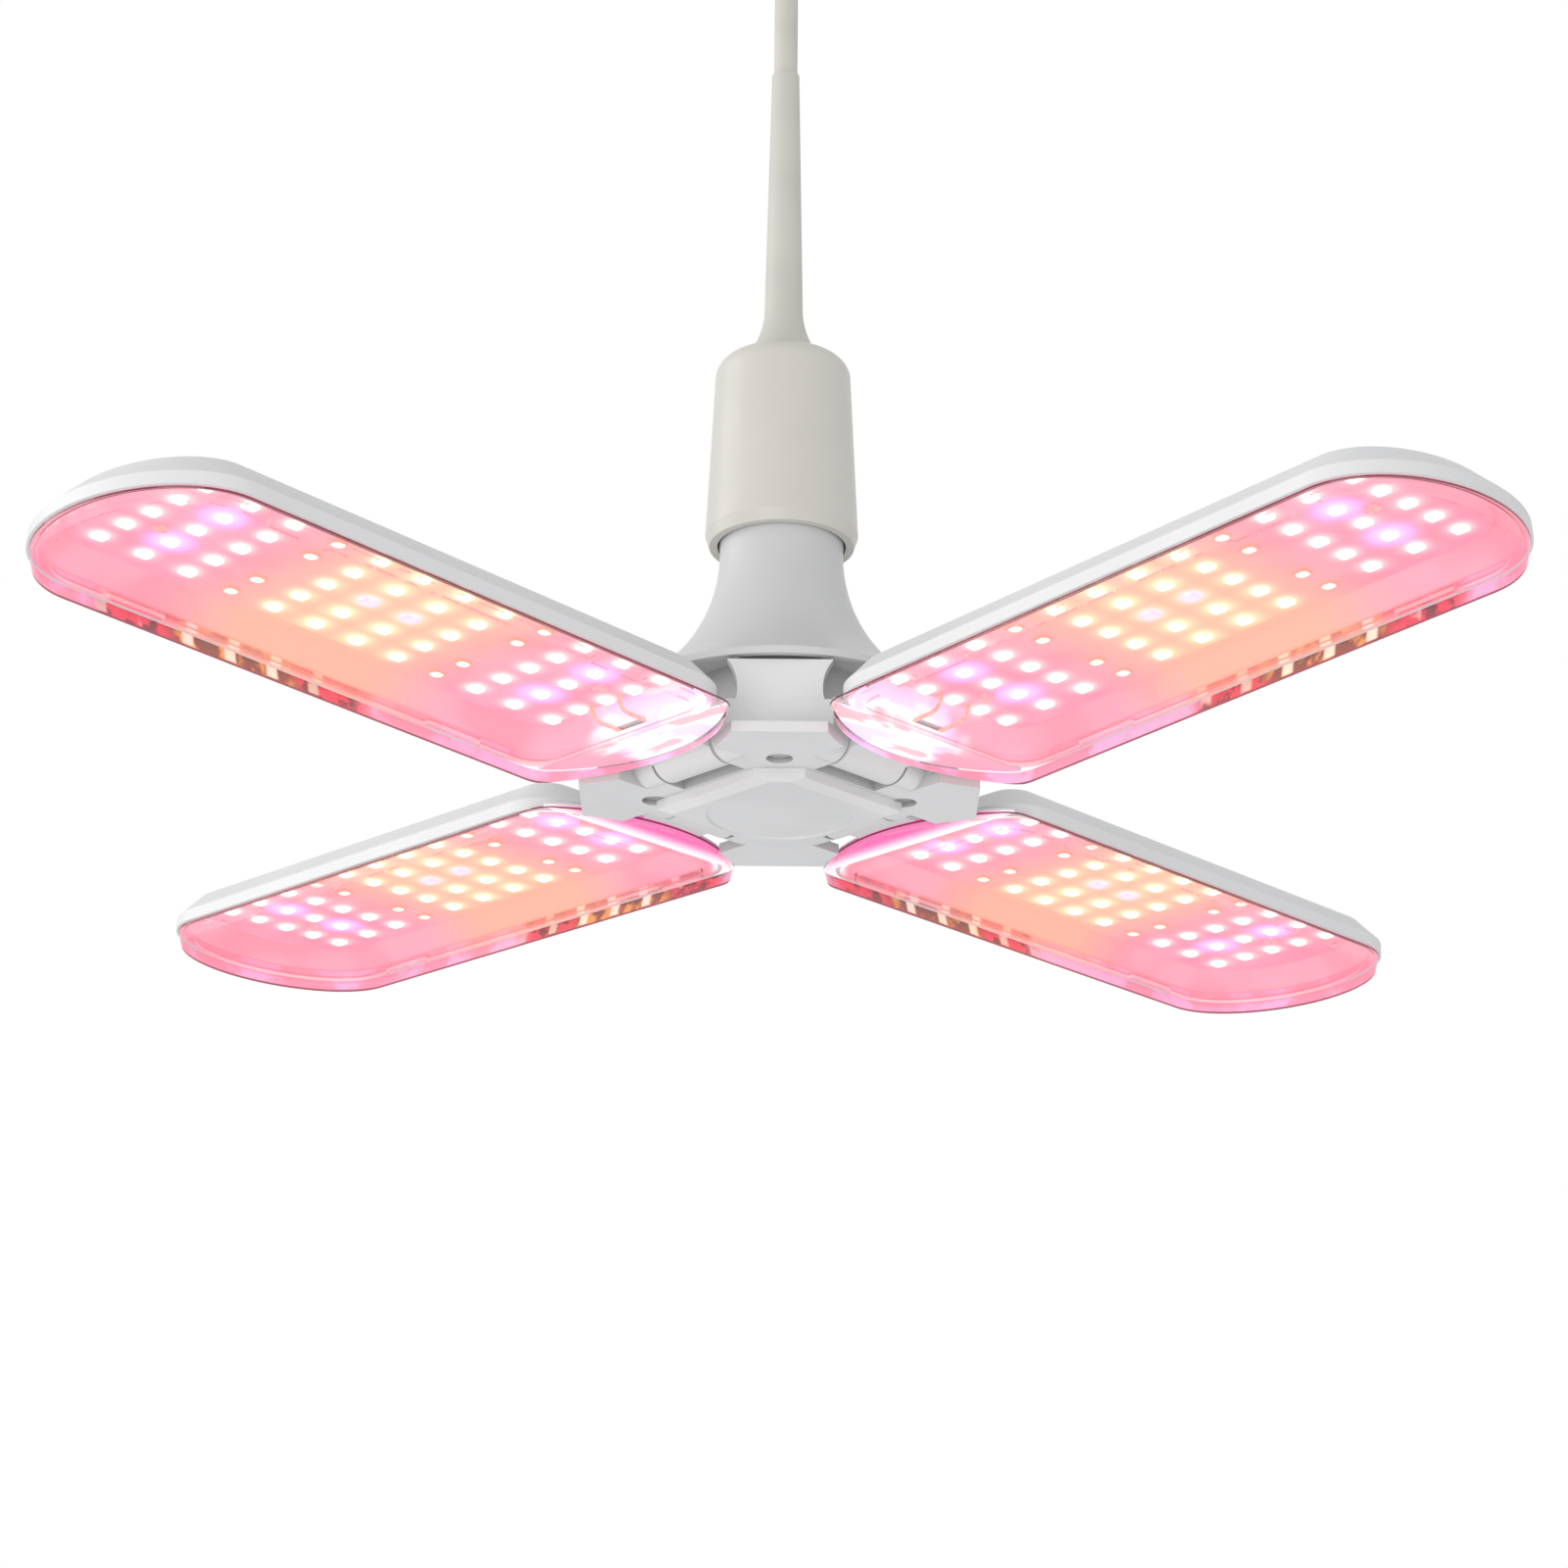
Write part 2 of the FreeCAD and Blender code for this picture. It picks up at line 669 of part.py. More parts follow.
def cap_insulator():
    """Glass insulator on the cap's end."""
    base = cap_shell_radius - cap_shell_wall - cap_clearance
    top = cap_top + cap_insulator_height
    start = neck_top_height + collar_length
    return revolve([line((0, start), (base, start)), line((base, start), (base, cap_top)),
                    line((base, cap_top), (cap_contact_radius, top)), line((cap_contact_radius, top), (0, top)),
                    line((0, top), (0, start))])


def cap_contact():
    """Centre contact of the cap."""
    return rod(cap_contact_radius, cap_contact_height, Vector(0, 0, cap_top + cap_insulator_height))


def driver_board():
    """Upright circuit board that stands on the bell's web."""
    return block(-driver_board_width / 2, driver_board_width / 2, -driver_board_thickness / 2,
                 driver_board_thickness / 2, web_top, web_top + driver_board_height)


def driver_parts():
    """Capacitor, coil and rectifier soldered to the driver board."""
    face = driver_board_thickness / 2
    base = web_top + driver_part_lift
    capacitor = rod(capacitor_radius, capacitor_length, Vector(0, face + capacitor_radius, base))
    coil = block(-coil_width / 2, coil_width / 2, -face - coil_depth, -face, base, base + coil_height)
    above_coil = base + coil_height + driver_part_gap
    rectifier = block(-rectifier_width / 2, rectifier_width / 2, -face - rectifier_depth, -face,
                      above_coil, above_coil + rectifier_height)
    foot = block(-capacitor_foot / 2, capacitor_foot / 2, face, face + capacitor_radius, base,
                 base + capacitor_length)
    return Part.makeCompound([capacitor.fuse(foot).removeSplitter(), coil, rectifier])


def holder_radius(z):
    """Outer radius of the lampholder's tapered side at a height."""
    share = (z - holder_rim_height) / holder_height
    return holder_bottom_radius + (holder_top_radius - holder_bottom_radius) * share


def holder_shell():
    """Lampholder casing: tapered, with a rounded shoulder and a bevelled rim."""
    rim = holder_rim_height
    bevel_top = rim + holder_rim_bevel
    side_top = holder_top - holder_shoulder
    bend = holder_shoulder * (1 - math.sqrt(0.5))
    flat = holder_radius(side_top) - holder_shoulder
    inner_top = holder_top - holder_wall
    mouth = holder_bottom_radius - holder_rim_narrowing - holder_wall
    roof = holder_radius(inner_top) - 2 * holder_wall
    profile = [
        line((boot_plug_radius, holder_top), (flat, holder_top)),
        arc((flat, holder_top), (holder_radius(side_top) - bend, holder_top - bend),
            (holder_radius(side_top), side_top)),
        line((holder_radius(side_top), side_top), (holder_bottom_radius, bevel_top)),
        line((holder_bottom_radius, bevel_top), (holder_bottom_radius - holder_rim_narrowing, rim)),
        line((holder_bottom_radius - holder_rim_narrowing, rim), (mouth, rim)),
        line((mouth, rim), (insert_radius() + insert_clearance, insert_top + insert_top_room)),
        line((insert_radius() + insert_clearance, insert_top + insert_top_room), (roof, inner_top)),
        line((roof, inner_top), (boot_plug_radius, inner_top)),
        line((boot_plug_radius, inner_top), (boot_plug_radius, holder_top)),
    ]
    return revolve(profile)


def insert_radius():
    """Outer radius of the lampholder's insulating insert."""
    return cap_shell_radius + sleeve_clearance + sleeve_wall + insert_wall


def holder_insert():
    """Insulating cup that carries the sleeve and the contacts."""
    bore = cap_shell_radius + sleeve_clearance + sleeve_wall
    floor = insert_top - insert_floor
    bottom = floor - sleeve_length
    cup = tube(insert_radius(), bore, bottom, floor)
    cup = cup.fuse(rod(insert_radius(), insert_floor, Vector(0, 0, floor)))
    for side in (1, -1):
        cup = cup.cut(rod(terminal_screw_radius, insert_floor / 2,
                          Vector(side * insert_radius() / 2, 0, insert_top - insert_floor / 2)))
    return cup.removeSplitter()


def holder_sleeve():
    """Screw sleeve inside the insert."""
    inner = cap_shell_radius + sleeve_clearance
    floor = insert_top - insert_floor
    return tube(inner + sleeve_wall, inner, floor - sleeve_length, floor)


def holder_contacts():
    """Centre contact on the insert's floor and two terminal screws in its top."""
    floor = insert_top - insert_floor
    solids = [rod(cap_contact_radius * 0.7, floor - contact_top, Vector(0, 0, contact_top))]
    for side in (1, -1):
        base = Vector(side * insert_radius() / 2, 0, insert_top - insert_floor / 2)
        solids.append(rod(terminal_screw_radius - screw_clearance, insert_floor / 2 + 1, base))
    return Part.makeCompound(solids)


def strain_boot():
    """Tapered boot round the cord, with a flared foot on the lampholder and a plug inside it."""
    bore = cord_diameter / 2 + cord_clearance
    foot = holder_top
    neck = foot + boot_flare_height
    tip = foot + boot_length
    plug = boot_plug_radius - boot_plug_clearance
    edge = foot + boot_foot_edge
    low = foot - boot_plug_length
    run = boot_base_radius - boot_neck_radius
    rise = neck - edge
    sweep = (run * run + rise * rise) / (2 * run)
    flare_middle = (boot_neck_radius + sweep - math.sqrt(sweep * sweep - rise * rise / 4), edge + rise / 2)
    profile = [
        line((bore, low), (plug, low)),
        line((plug, low), (plug, foot)),
        line((plug, foot), (boot_base_radius, foot)),
        line((boot_base_radius, foot), (boot_base_radius, edge)),
        arc((boot_base_radius, edge), flare_middle, (boot_neck_radius, neck)),
        line((boot_neck_radius, neck), (boot_tip_radius, tip)),
        line((boot_tip_radius, tip), (bore, tip)),
        line((bore, tip), (bore, low)),
    ]
    return revolve(profile)


def pendant_cord():
    """Straight cord that carries the lamp, from inside the lampholder to the terminal in the rose."""
    low = holder_top - boot_plug_length
    high = rose_bottom + rose_height - bracket_thickness - terminal_height
    return rod(cord_diameter / 2, high - low, Vector(0, 0, low))


def cord_grip():
    """Hexagonal grip nut under the ceiling rose, with a flange and a stub inside it."""
    bore = cord_diameter / 2 + cord_clearance
    corner = grip_radius / math.cos(math.pi / 6)
    points = [(corner * math.cos(math.radians(60 * k)), corner * math.sin(math.radians(60 * k)), 0)
              for k in range(6)]
    nut = prism(points, Vector(0, 0, grip_length - grip_flange_thickness))
    nut.translate(Vector(0, 0, grip_bottom))
    flange = rod(grip_flange_radius, grip_flange_thickness,
                 Vector(0, 0, rose_bottom - grip_flange_thickness))
    stub = rod(grip_radius - 2, 2 * rose_wall, Vector(0, 0, rose_bottom))
    body = fuse_all([nut, flange, stub])
    return body.cut(rod(bore, 2 * grip_length + rose_wall, Vector(0, 0, grip_bottom - 1)))


def rose_cup():
    """Ceiling cup with a rounded lower edge."""
    top = ceiling_height
    bend = rose_edge_round * (1 - math.sqrt(0.5))
    inner = rose_radius - rose_wall
    hole = grip_radius - 2 + cord_clearance
    side_start = rose_bottom + rose_edge_round
    flat = rose_radius - rose_edge_round
    floor = rose_bottom + rose_wall
    profile = [
        line((hole, rose_bottom), (flat, rose_bottom)),
        arc((flat, rose_bottom), (rose_radius - bend, rose_bottom + bend), (rose_radius, side_start)),
        line((rose_radius, side_start), (rose_radius, top)),
        line((rose_radius, top), (inner, top)),
        line((inner, top), (inner, side_start)),
        arc((inner, side_start), (inner - bend + rose_wall * 0.3, floor + bend - rose_wall * 0.3),
            (flat, floor)),
        line((flat, floor), (hole, floor)),
        line((hole, floor), (hole, rose_bottom)),
    ]
    cup = revolve(profile)
    for direction in (1, -1):
        cup = cup.cut(rod(rose_screw_diameter / 2, 2 * rose_wall,
                          Vector(direction * (rose_radius + 1), 0, rose_screw_height()),
                          Vector(-direction, 0, 0)))
    return cup


def rose_screw_height():
    """Height of the two screws that hold the cup to the bracket."""
    return ceiling_height - bracket_thickness - bracket_tab / 2


def rose_bracket():
    """Steel strap on the ceiling with two fixing holes and a bent tab at each end."""
    reach = rose_radius - rose_wall - bracket_clearance
    top = ceiling_height
    strap = block(-reach, reach, -bracket_width / 2, bracket_width / 2, top - bracket_thickness, top)
    inside = rod(reach, bracket_thickness + bracket_tab, Vector(0, 0, top - bracket_thickness - bracket_tab))
    tabs = [block(min(a, b), max(a, b), -bracket_width / 2, bracket_width / 2,
                  top - bracket_thickness - bracket_tab, top)
            for a, b in ((reach, reach - bracket_thickness), (-reach, bracket_thickness - reach))]
    body = fuse_all([strap] + tabs).common(inside)
    for direction in (1, -1):
        hole = rod(fixing_hole_diameter / 2, 2 * bracket_thickness,
                   Vector(direction * fixing_hole_spacing / 2, 0, top - 1.5 * bracket_thickness))
        tap = rod(rose_screw_diameter / 2, 3 * bracket_thickness,
                  Vector(direction * (reach + 1), 0, rose_screw_height()), Vector(-direction, 0, 0))
        body = body.cut(hole).cut(tap)
    return body


def rose_screws():
    """Two screws through the cup's side into the bracket's tabs."""
    solids = []
    for direction in (1, -1):
        outside = Vector(direction * (rose_radius + rose_screw_head_height), 0, rose_screw_height())
        inward = Vector(-direction, 0, 0)
        head = rod(rose_screw_head / 2, rose_screw_head_height, outside, inward)
        shank = rod(rose_screw_diameter / 2 - screw_clearance,
                    rose_screw_head_height + rose_wall + bracket_thickness, outside, inward)
        solids.append(fuse_all([head, shank]))
    return Part.makeCompound(solids)


def rose_terminal():
    """Terminal block under the bracket, where the cord's leads end."""
    top = ceiling_height - bracket_thickness
    return block(-terminal_length / 2, terminal_length / 2, -terminal_width / 2, terminal_width / 2,
                 top - terminal_height, top)


def save(name, shape):
    """Writes one piece with the origin at the centre of the ceiling face."""
    copy = shape.copy()
    copy.translate(Vector(0, 0, -ceiling_height))
    copy.exportStep("parts/" + name + ".step")


os.makedirs("parts", exist_ok=True)
fixed_pieces = {
    "rose_cup": rose_cup, "rose_bracket": rose_bracket, "rose_screws": rose_screws,
    "rose_terminal": rose_terminal, "cord_grip": cord_grip, "pendant_cord": pendant_cord,
    "strain_boot": strain_boot, "holder_shell": holder_shell, "holder_insert": holder_insert,
    "holder_sleeve": holder_sleeve, "holder_contacts": holder_contacts, "cap_shell": cap_shell,
    "cap_insulator": cap_insulator, "cap_contact": cap_contact, "neck_shell": neck_shell,
    "driver_board": driver_board, "driver_parts": driver_parts, "hub_body": hub_body,
    "hub_screws": hub_screws, "bottom_cover": bottom_cover, "hinge_pins": hinge_pins,
    "hinge_washers": hinge_washers,
}
for name, make in fixed_pieces.items():
    save(name, make())

leaf_pieces = {
    "casing": leaf_casing(), "lens": leaf_lens(), "led_board": leaf_board(),
    "white_leds": leaf_leds("white"), "blue_leds": leaf_leds("blue"), "red_leds": leaf_leds("red"),
    "board_screws": board_screws(), "wires": leaf_wires(),
}
for leaf in leaf_azimuths:
    for piece, shape in leaf_pieces.items():
        save("leaf_" + leaf + "_" + piece, set_leaf(shape, leaf))
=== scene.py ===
"""Foldable grow light: finishes, cord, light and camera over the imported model."""
import math
import bpy
from mathutils import Matrix, Vector


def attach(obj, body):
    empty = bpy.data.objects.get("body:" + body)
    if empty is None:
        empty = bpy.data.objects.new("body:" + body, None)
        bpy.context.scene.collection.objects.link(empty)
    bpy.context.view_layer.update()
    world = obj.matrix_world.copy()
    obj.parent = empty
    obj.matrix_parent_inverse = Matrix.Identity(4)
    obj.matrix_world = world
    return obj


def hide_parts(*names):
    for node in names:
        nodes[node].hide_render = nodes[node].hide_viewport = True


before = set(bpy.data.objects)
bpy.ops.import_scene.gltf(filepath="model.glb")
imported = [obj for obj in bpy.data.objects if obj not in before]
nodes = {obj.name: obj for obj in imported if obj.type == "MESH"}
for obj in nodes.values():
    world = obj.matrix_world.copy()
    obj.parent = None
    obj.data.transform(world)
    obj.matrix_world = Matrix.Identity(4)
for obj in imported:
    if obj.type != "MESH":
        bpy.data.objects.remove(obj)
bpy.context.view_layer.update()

# Hinges and parting plane of the leaves, in metres and degrees
PARTING_HEIGHT = -0.272
HINGE_RADIUS = 0.028
HINGE_HEIGHT = -0.2691
LEAF_TURNS = {"a": 225.0, "b": 315.0, "c": 135.0, "d": 45.0}
LEAF_TILTS = {"a": 2.6, "b": 4.2, "c": 0.65, "d": -0.75}

# Lattice of lamps on a leaf, in millimetres; single columns and rows are counted from its middle
LED_FIRST = 57.7
LED_PITCH = 12.0
LED_ROW = 9.3
LED_COLUMNS = 12
LED_ROWS = 5
LED_MIDDLE = LED_FIRST + (LED_COLUMNS - 1) / 2 * LED_PITCH
DIM_COLUMN = 2.0
BLUE_COLUMN = 4.0
BLUE_ROW = 1.0

# Outline of a leaf, in millimetres from the lamp's axis and from the leaf's middle line
LEAF_HALF_WIDTH = 34.0
TIP_START = 188.0
TIP_DEPTH = 23.0
END_CENTRE = 88.0
END_BOW = 52.0
END_REACH = 60.0
SHOULDER = 47.5
SHOULDER_CORNER = 12.0
APRON_START = 34.0
APRON_END = 49.4
APRON_EDGE = 0.9
RIM_WIDTH = 2.9

# Heights over a leaf's parting plane, in millimetres; a pair is where a line starts and ends
APRON_TOP = 0.3
CASING_SKIN = 1.0
BEVEL_START = 2.6
HOLLOW_TOP = 8.0
FOOT_LINE = (-3.5, -3.25)
SPOT_BAND = (-3.35, -2.9)
REFLECTED_STREAK_HEIGHT = -1.9
PALE_HEIGHT = -1.5
HAIR_HEIGHT = -0.75
PARTING_LINE = (-0.85, -0.65)

# Painted lamp light on the leaves: reach along the leaf in millimetres, and strength
FAR_LEAVES = "cd"
FAR_SIDE = {"a": -1.0, "b": 1.0}
GOLD_PLACE = {"a": 141.0, "b": 141.0, "c": 91.0, "d": 91.0}
GOLD_REACH = (14.0, 21.0)
RED_REACH = (34.0, 42.0)
WARM_REACH = (14.0, 46.0)
AMBER_REACH = (8.0, 23.0)
BLUE_REACH = 6.2
VIOLET_REACH = 3.4
AMBER_SPREAD = 5.0
HALO_SPREAD = 2.8
BOARD_GLOW = 0.62
LENS_GLOW = 0.25
CASING_GLOW = 0.5
LEAD_GLOW = 0.3
SCREW_GLOW = 0.35
LAMP_GLOW = {"white": 1.4, "blue": 1.2, "red": 0.85}

# Cord, in metres
CORD_LOW = -0.1625
CORD_HIGH = -0.012
CORD_WIDTH = 0.006
CORD_POINTS = 5

# Camera, solved from the leaves' edges: metres, degrees, and pixels of the photograph
SENSOR_WIDTH = 36.0
FOCAL_PIXELS = 4264.9
PHOTO_PIXELS = 1600
VIEW_PLACE = (0.0011, -0.9499, -0.6163)
VIEW_RISE = 20.03
VIEW_ROLL = 0.49

# Studio: name, place, target, width in metres, power in watts and colour of each light
WHITE = (1.0, 1.0, 1.0)
STUDIO_LIGHTS = (
    ("front_light", (-0.6, -2.1, -0.75), (0, 0, -0.26), 1.6, 15.0, (1.0, 0.99, 0.98)),
    ("left_light", (-2.0, 0.1, 0.3), (0, 0, -0.2), 1.4, 14.0, WHITE),
    ("right_light", (2.0, 0.3, 0.1), (0, 0, -0.2), 1.2, 1.5, WHITE),
    ("low_light", (-0.2, -1.0, -1.5), (0, 0, -0.27), 1.2, 4.5, WHITE),
)
AIR_COLOUR = (0.97, 0.98, 1.0)
AIR_STRENGTH = 0.58
FLOOR_HEIGHT = -2.2
FLOOR_HALF_SIDE = 40.0

# Scales of texture, in features per metre, and sizes of relief in metres
CLOUD_SCALE = 35.0
SPARK_SCALE = 2600.0
SPARK_DEPTH = 0.00002
SEAM_EDGE = (0.00012, 0.0004)
# Reach of the painted shade in hollows, in metres
HOLLOW_SHADE_REACH = 0.02
THREAD_PITCH = 0.0036
COIL_PITCH = 0.0007
COIL_SIDE = -0.0002
COIL_TOP = -0.2325
SLEEVE_STRIPE = (0.0095, 0.0098)

# Colours of the plastics
WARM_WHITE = (0.7, 0.68, 0.62)
CREAM_GREY = (0.66, 0.645, 0.58)
GREY_WHITE = (0.68, 0.68, 0.68)
# HUB_WHITE is partly the hub's own white and partly painted light from below: it is kept lighter than the
# bell's GREY_WHITE
HUB_WHITE = (0.84, 0.84, 0.84)
WASHER_NYLON = (0.75, 0.74, 0.7)
CASING_WHITES = ((0.8, 0.8, 0.8), (0.82, 0.82, 0.822))
CORD_GREYS = ((0.6, 0.585, 0.52), CREAM_GREY)
FLOOR_WHITES = ((0.91, 0.91, 0.91), (0.93, 0.93, 0.93))

# Colours of the metals, insulators and driver
NICKEL = (0.72, 0.71, 0.68)
SLEEVE_BRASS = (0.78, 0.58, 0.28)
CONTACT_BRASS = (0.78, 0.6, 0.3)
PIN_STEEL = (0.6, 0.6, 0.61)
SCREW_ZINC = (0.66, 0.66, 0.64)
BRACKET_STEEL = (0.6, 0.61, 0.62)
PORCELAIN = (0.82, 0.8, 0.75)
TERMINAL_NYLON = (0.78, 0.76, 0.7)
GLASS_DARKS = ((0.012, 0.012, 0.016), (0.05, 0.05, 0.06))
LAMINATE_GREENS = ((0.02, 0.12, 0.045), (0.05, 0.24, 0.09))
SLEEVE_AND_STRIPE = ((0.02, 0.022, 0.03), (0.55, 0.56, 0.57))
COPPERS = ((0.36, 0.13, 0.05), (0.72, 0.34, 0.16))
RECTIFIER_BLACK = (0.015, 0.015, 0.016)

# Colours of the lamps, and of their light painted on boards, casings, lenses, leads and screws
CHIP_EDGES = ((0.85, 0.5, 0.46), (0.9, 0.56, 0.3))
CHIP_CREAM = (1.0, 0.97, 0.88)
BLUE_CHIP = ((0.66, 0.46, 0.95), (0.8, 0.9, 1.0))
VIOLET_CHIP = (0.6, 0.36, 0.86)
RED_CHIP = ((0.6, 0.26, 0.18), (1.0, 0.9, 0.76))
LEAD_REDS = ((0.74, 0.34, 0.26), (0.86, 0.5, 0.4))
SCREW_CORALS = ((0.8, 0.34, 0.38), (0.92, 0.5, 0.5))
CORALS = ((0.76, 0.21, 0.3), (0.82, 0.27, 0.36))
PEACH = (0.87, 0.36, 0.25)
AMBER = (1.0, 0.7, 0.38)
LILAC = (0.74, 0.42, 0.96)
PALE_HALO = (1.0, 0.8, 0.74)
WARM_HALO = (1.0, 0.8, 0.52)
BLUE_HALO = (0.8, 0.64, 1.0)
ROSE = (0.9, 0.32, 0.45)
ORCHID = (0.9, 0.5, 0.78)
CRIMSON = (0.72, 0.03, 0.08)
DARK_CRIMSON = (0.16, 0.012, 0.016)
BROWN = (0.2, 0.05, 0.02)
GOLD = (0.76, 0.36, 0.07)
CREAM = (1.0, 0.92, 0.74)
MAROON = (0.2, 0.03, 0.06)
DARK_MAROON = (0.12, 0.015, 0.03)
TRAY_FLOOR = (1.0, 0.76, 0.82)
NEAR_WALL = ((1.0, 0.84, 0.84), (0.9, 0.36, 0.42))
WALL_FLUSH = ((0.82, 0.28, 0.37), (0.9, 0.42, 0.3))
PALE_BAND = (1.0, 0.84, 0.78)
HAIR_BROWN = (0.5, 0.16, 0.14)
CASING_PAINTED_PINKS = ((0.78, 0.25, 0.33), (0.84, 0.32, 0.4))
WARM_PAINTED_PINK = (0.88, 0.38, 0.27)
FAR_END = ((1.0, 0.93, 0.97), (0.74, 0.07, 0.36))
NEAR_END = ((1.0, 0.94, 0.94), (0.8, 0.68, 0.98))
NEAR_END_ROSE = (0.9, 0.5, 0.54)
NEAR_END_CORAL = (0.85, 0.33, 0.42)

# How much of the clear tray's colour shows on its floor and on its two kinds of wall
FLOOR_VEIL = 0.05
FAR_VEIL = 0.42
NEAR_VEIL = 0.1


class Wire:
    """A socket of a finish. Sums, products and comparisons of wires add Math nodes."""

    def __init__(self, finish, socket):
        self.finish = finish
        self.socket = socket

    def math(self, operation, *others):
        return self.finish.node("Math", {"operation": operation}, dict(enumerate((self, *others))))

    def __add__(self, other):
        return self.math("ADD", other)

    def __sub__(self, other):
        return self.math("SUBTRACT", other)

    def __rsub__(self, other):
        return self.finish.node("Math", {"operation": "SUBTRACT"}, {0: other, 1: self})

    def __mul__(self, other):
        return self.math("MULTIPLY", other)

    def __truediv__(self, other):
        return self.math("DIVIDE", other)

    def __abs__(self):
        return self.math("ABSOLUTE")

    def __lt__(self, other):
        return self.math("LESS_THAN", other)

    def __gt__(self, other):
        return self.math("GREATER_THAN", other)

    __radd__ = __add__
    __rmul__ = __mul__


class Finish:
    """Nodes of one material or of the surroundings, with a single method that adds them."""

    def __init__(self, owner):
        self.owner = owner
        owner.use_nodes = True
        self.tree = owner.node_tree
        self.tree.nodes.clear()

    @classmethod
    def named(cls, name):
        """Finish of a new material, ready to use the surface point."""
        made = cls(bpy.data.materials.new(name))
        made.place = made.node("TexCoord", out="Object")
        return made

    def node(self, kind, settings=None, inputs=None, out=0):
        """New node with its settings, then the values or links of its sockets. Gives one of its outputs."""
        made = self.tree.nodes.new("ShaderNode" + kind)
        for key, value in (settings or {}).items():
            setattr(made, key, value)
        for key, value in (inputs or {}).items():
            socket = made.inputs[key]
            if isinstance(value, Wire):
                self.tree.links.new(value.socket, socket)
            elif socket.type == "RGBA":
                socket.default_value = (*value[:3], 1.0)
            else:
                socket.default_value = value
        return Wire(self, made.outputs[out]) if made.outputs else None

    def axis(self, which):
        """One coordinate of the surface point, in metres."""
        return self.node("SeparateXYZ", inputs={"Vector": self.place}, out=which)

    def noise(self, scale, detail, rough=0.5, stretch=(1, 1, 1)):
        """Noise over the surface, its scale in features per metre."""
        where = self.node("Mapping", inputs={"Vector": self.place, "Scale": stretch})
        return self.node("TexNoise", inputs={"Vector": where, "Scale": scale, "Detail": detail,
                                             "Roughness": rough})

    def ease(self, value, low, high, start=0.0, end=1.0):
        """Smooth step from start to end as value goes from low to high."""
        return self.node("MapRange", {"interpolation_type": "SMOOTHSTEP"},
                         {"Value": value, "From Min": low, "From Max": high, "To Min": start, "To Max": end})

    def fade(self, value, low, high):
        """1 up to low, 0 from high on, smooth between."""
        return self.ease(value, low, high, 1.0, 0.0)

    def tint(self, first, second, share):
        """Colour that goes from first to second."""
        return self.node("Mix", {"data_type": "RGBA"}, {0: share, 6: first, 7: second}, out=2)

    def bump(self, height, depth, strength):
        """Normal from a height field; depth is in metres."""
        return self.node("Bump", inputs={"Height": height, "Distance": depth, "Strength": strength})

    def close(self, **inputs):
        """Ends the finish in one principled surface. Underscores in names stand for spaces."""
        named = {key.replace("_", " "): value for key, value in inputs.items()}
        surface = self.node("BsdfPrincipled", inputs=named)
        self.node("OutputMaterial", inputs={"Surface": surface})
        return self.owner


def dimmed(colour, share):
    """Colour with that share of its light."""
    return tuple(c * share for c in colour)


def moulded(name, colour, rough=0.42, cloud=0.03, grain=SPARK_DEPTH, seam=None, hollow_shade=0.0):
    """Satin moulded plastic with faint clouds and spark texture, and a seam and painted shade in hollows on
    request.
    """
    f = Finish.named(name)
    drift = f.noise(CLOUD_SCALE, 2.0)
    fine = f.noise(SPARK_SCALE, 2.0, 0.6)
    shade = f.tint(dimmed(colour, 1 - 2 * cloud), colour, f.ease(drift, 0.3, 0.62))
    height = fine
    if seam is not None:
        ridge = f.fade(abs(f.axis(seam)), *SEAM_EDGE)
        height = fine + ridge * 2.0
        shade = f.tint(shade, dimmed(colour, 0.93), ridge)
    # Painted shade: the colour darkens where ambient occlusion finds hollows and nearby parts
    if hollow_shade:
        open_sky = f.node("AmbientOcclusion", {"samples": 6}, {"Distance": HOLLOW_SHADE_REACH}, out="AO")
        shade = f.tint(dimmed(colour, 1 - hollow_shade), shade, f.ease(open_sky, 0.3, 0.9))
    speck = f.noise(420.0, 4.0, 0.65)
    return f.close(Base_Color=shade, Roughness=f.ease(speck, 0.25, 0.75, rough - 0.05, rough + 0.07),
                   Specular_IOR_Level=0.45, Normal=f.bump(height, grain, 0.6))


def worked_metal(name, colour, rough, stretch=(1, 1, 30), tarnish=0.15):
    """Bare or plated metal with fine working marks and a little tarnish."""
    f = Finish.named(name)
    marks = f.noise(900.0, 4.0, 0.6, stretch)
    spots = f.noise(160.0, 5.0, 0.6)
    dull = f.ease(spots, 0.48, 0.72)
    shade = f.tint(colour, dimmed(colour, 1 - 2.5 * tarnish), dull * 0.6)
    return f.close(Base_Color=shade, Metallic=1.0,
                   Roughness=f.ease(marks, 0.2, 0.8, rough - 0.08, rough + 0.14),
                   Normal=f.bump(marks, 0.00002, 0.5))


def screw_thread(name, colour):
    """Rolled screw thread on thin metal, with painted shade in its grooves."""
    f = Finish.named(name)
    x, y, z = f.axis(0), f.axis(1), f.axis(2)
    turn = y.math("ARCTAN2", x) / (2 * math.pi)
    wave = ((z / THREAD_PITCH + turn) * (2 * math.pi)).math("SINE")
    scuff = f.noise(300.0, 4.0, 0.6, (1, 1, 6))
    # Painted shade: darker in the thread's grooves, on the same wave as the bump
    shade = f.tint(dimmed(colour, 0.72), colour, f.ease(wave, -0.9, 0.5))
    return f.close(Base_Color=shade, Metallic=1.0, Roughness=f.ease(scuff, 0.3, 0.7, 0.2, 0.38),
                   Normal=f.bump(wave * 0.5 + scuff * 0.1, 0.0008, 0.8))


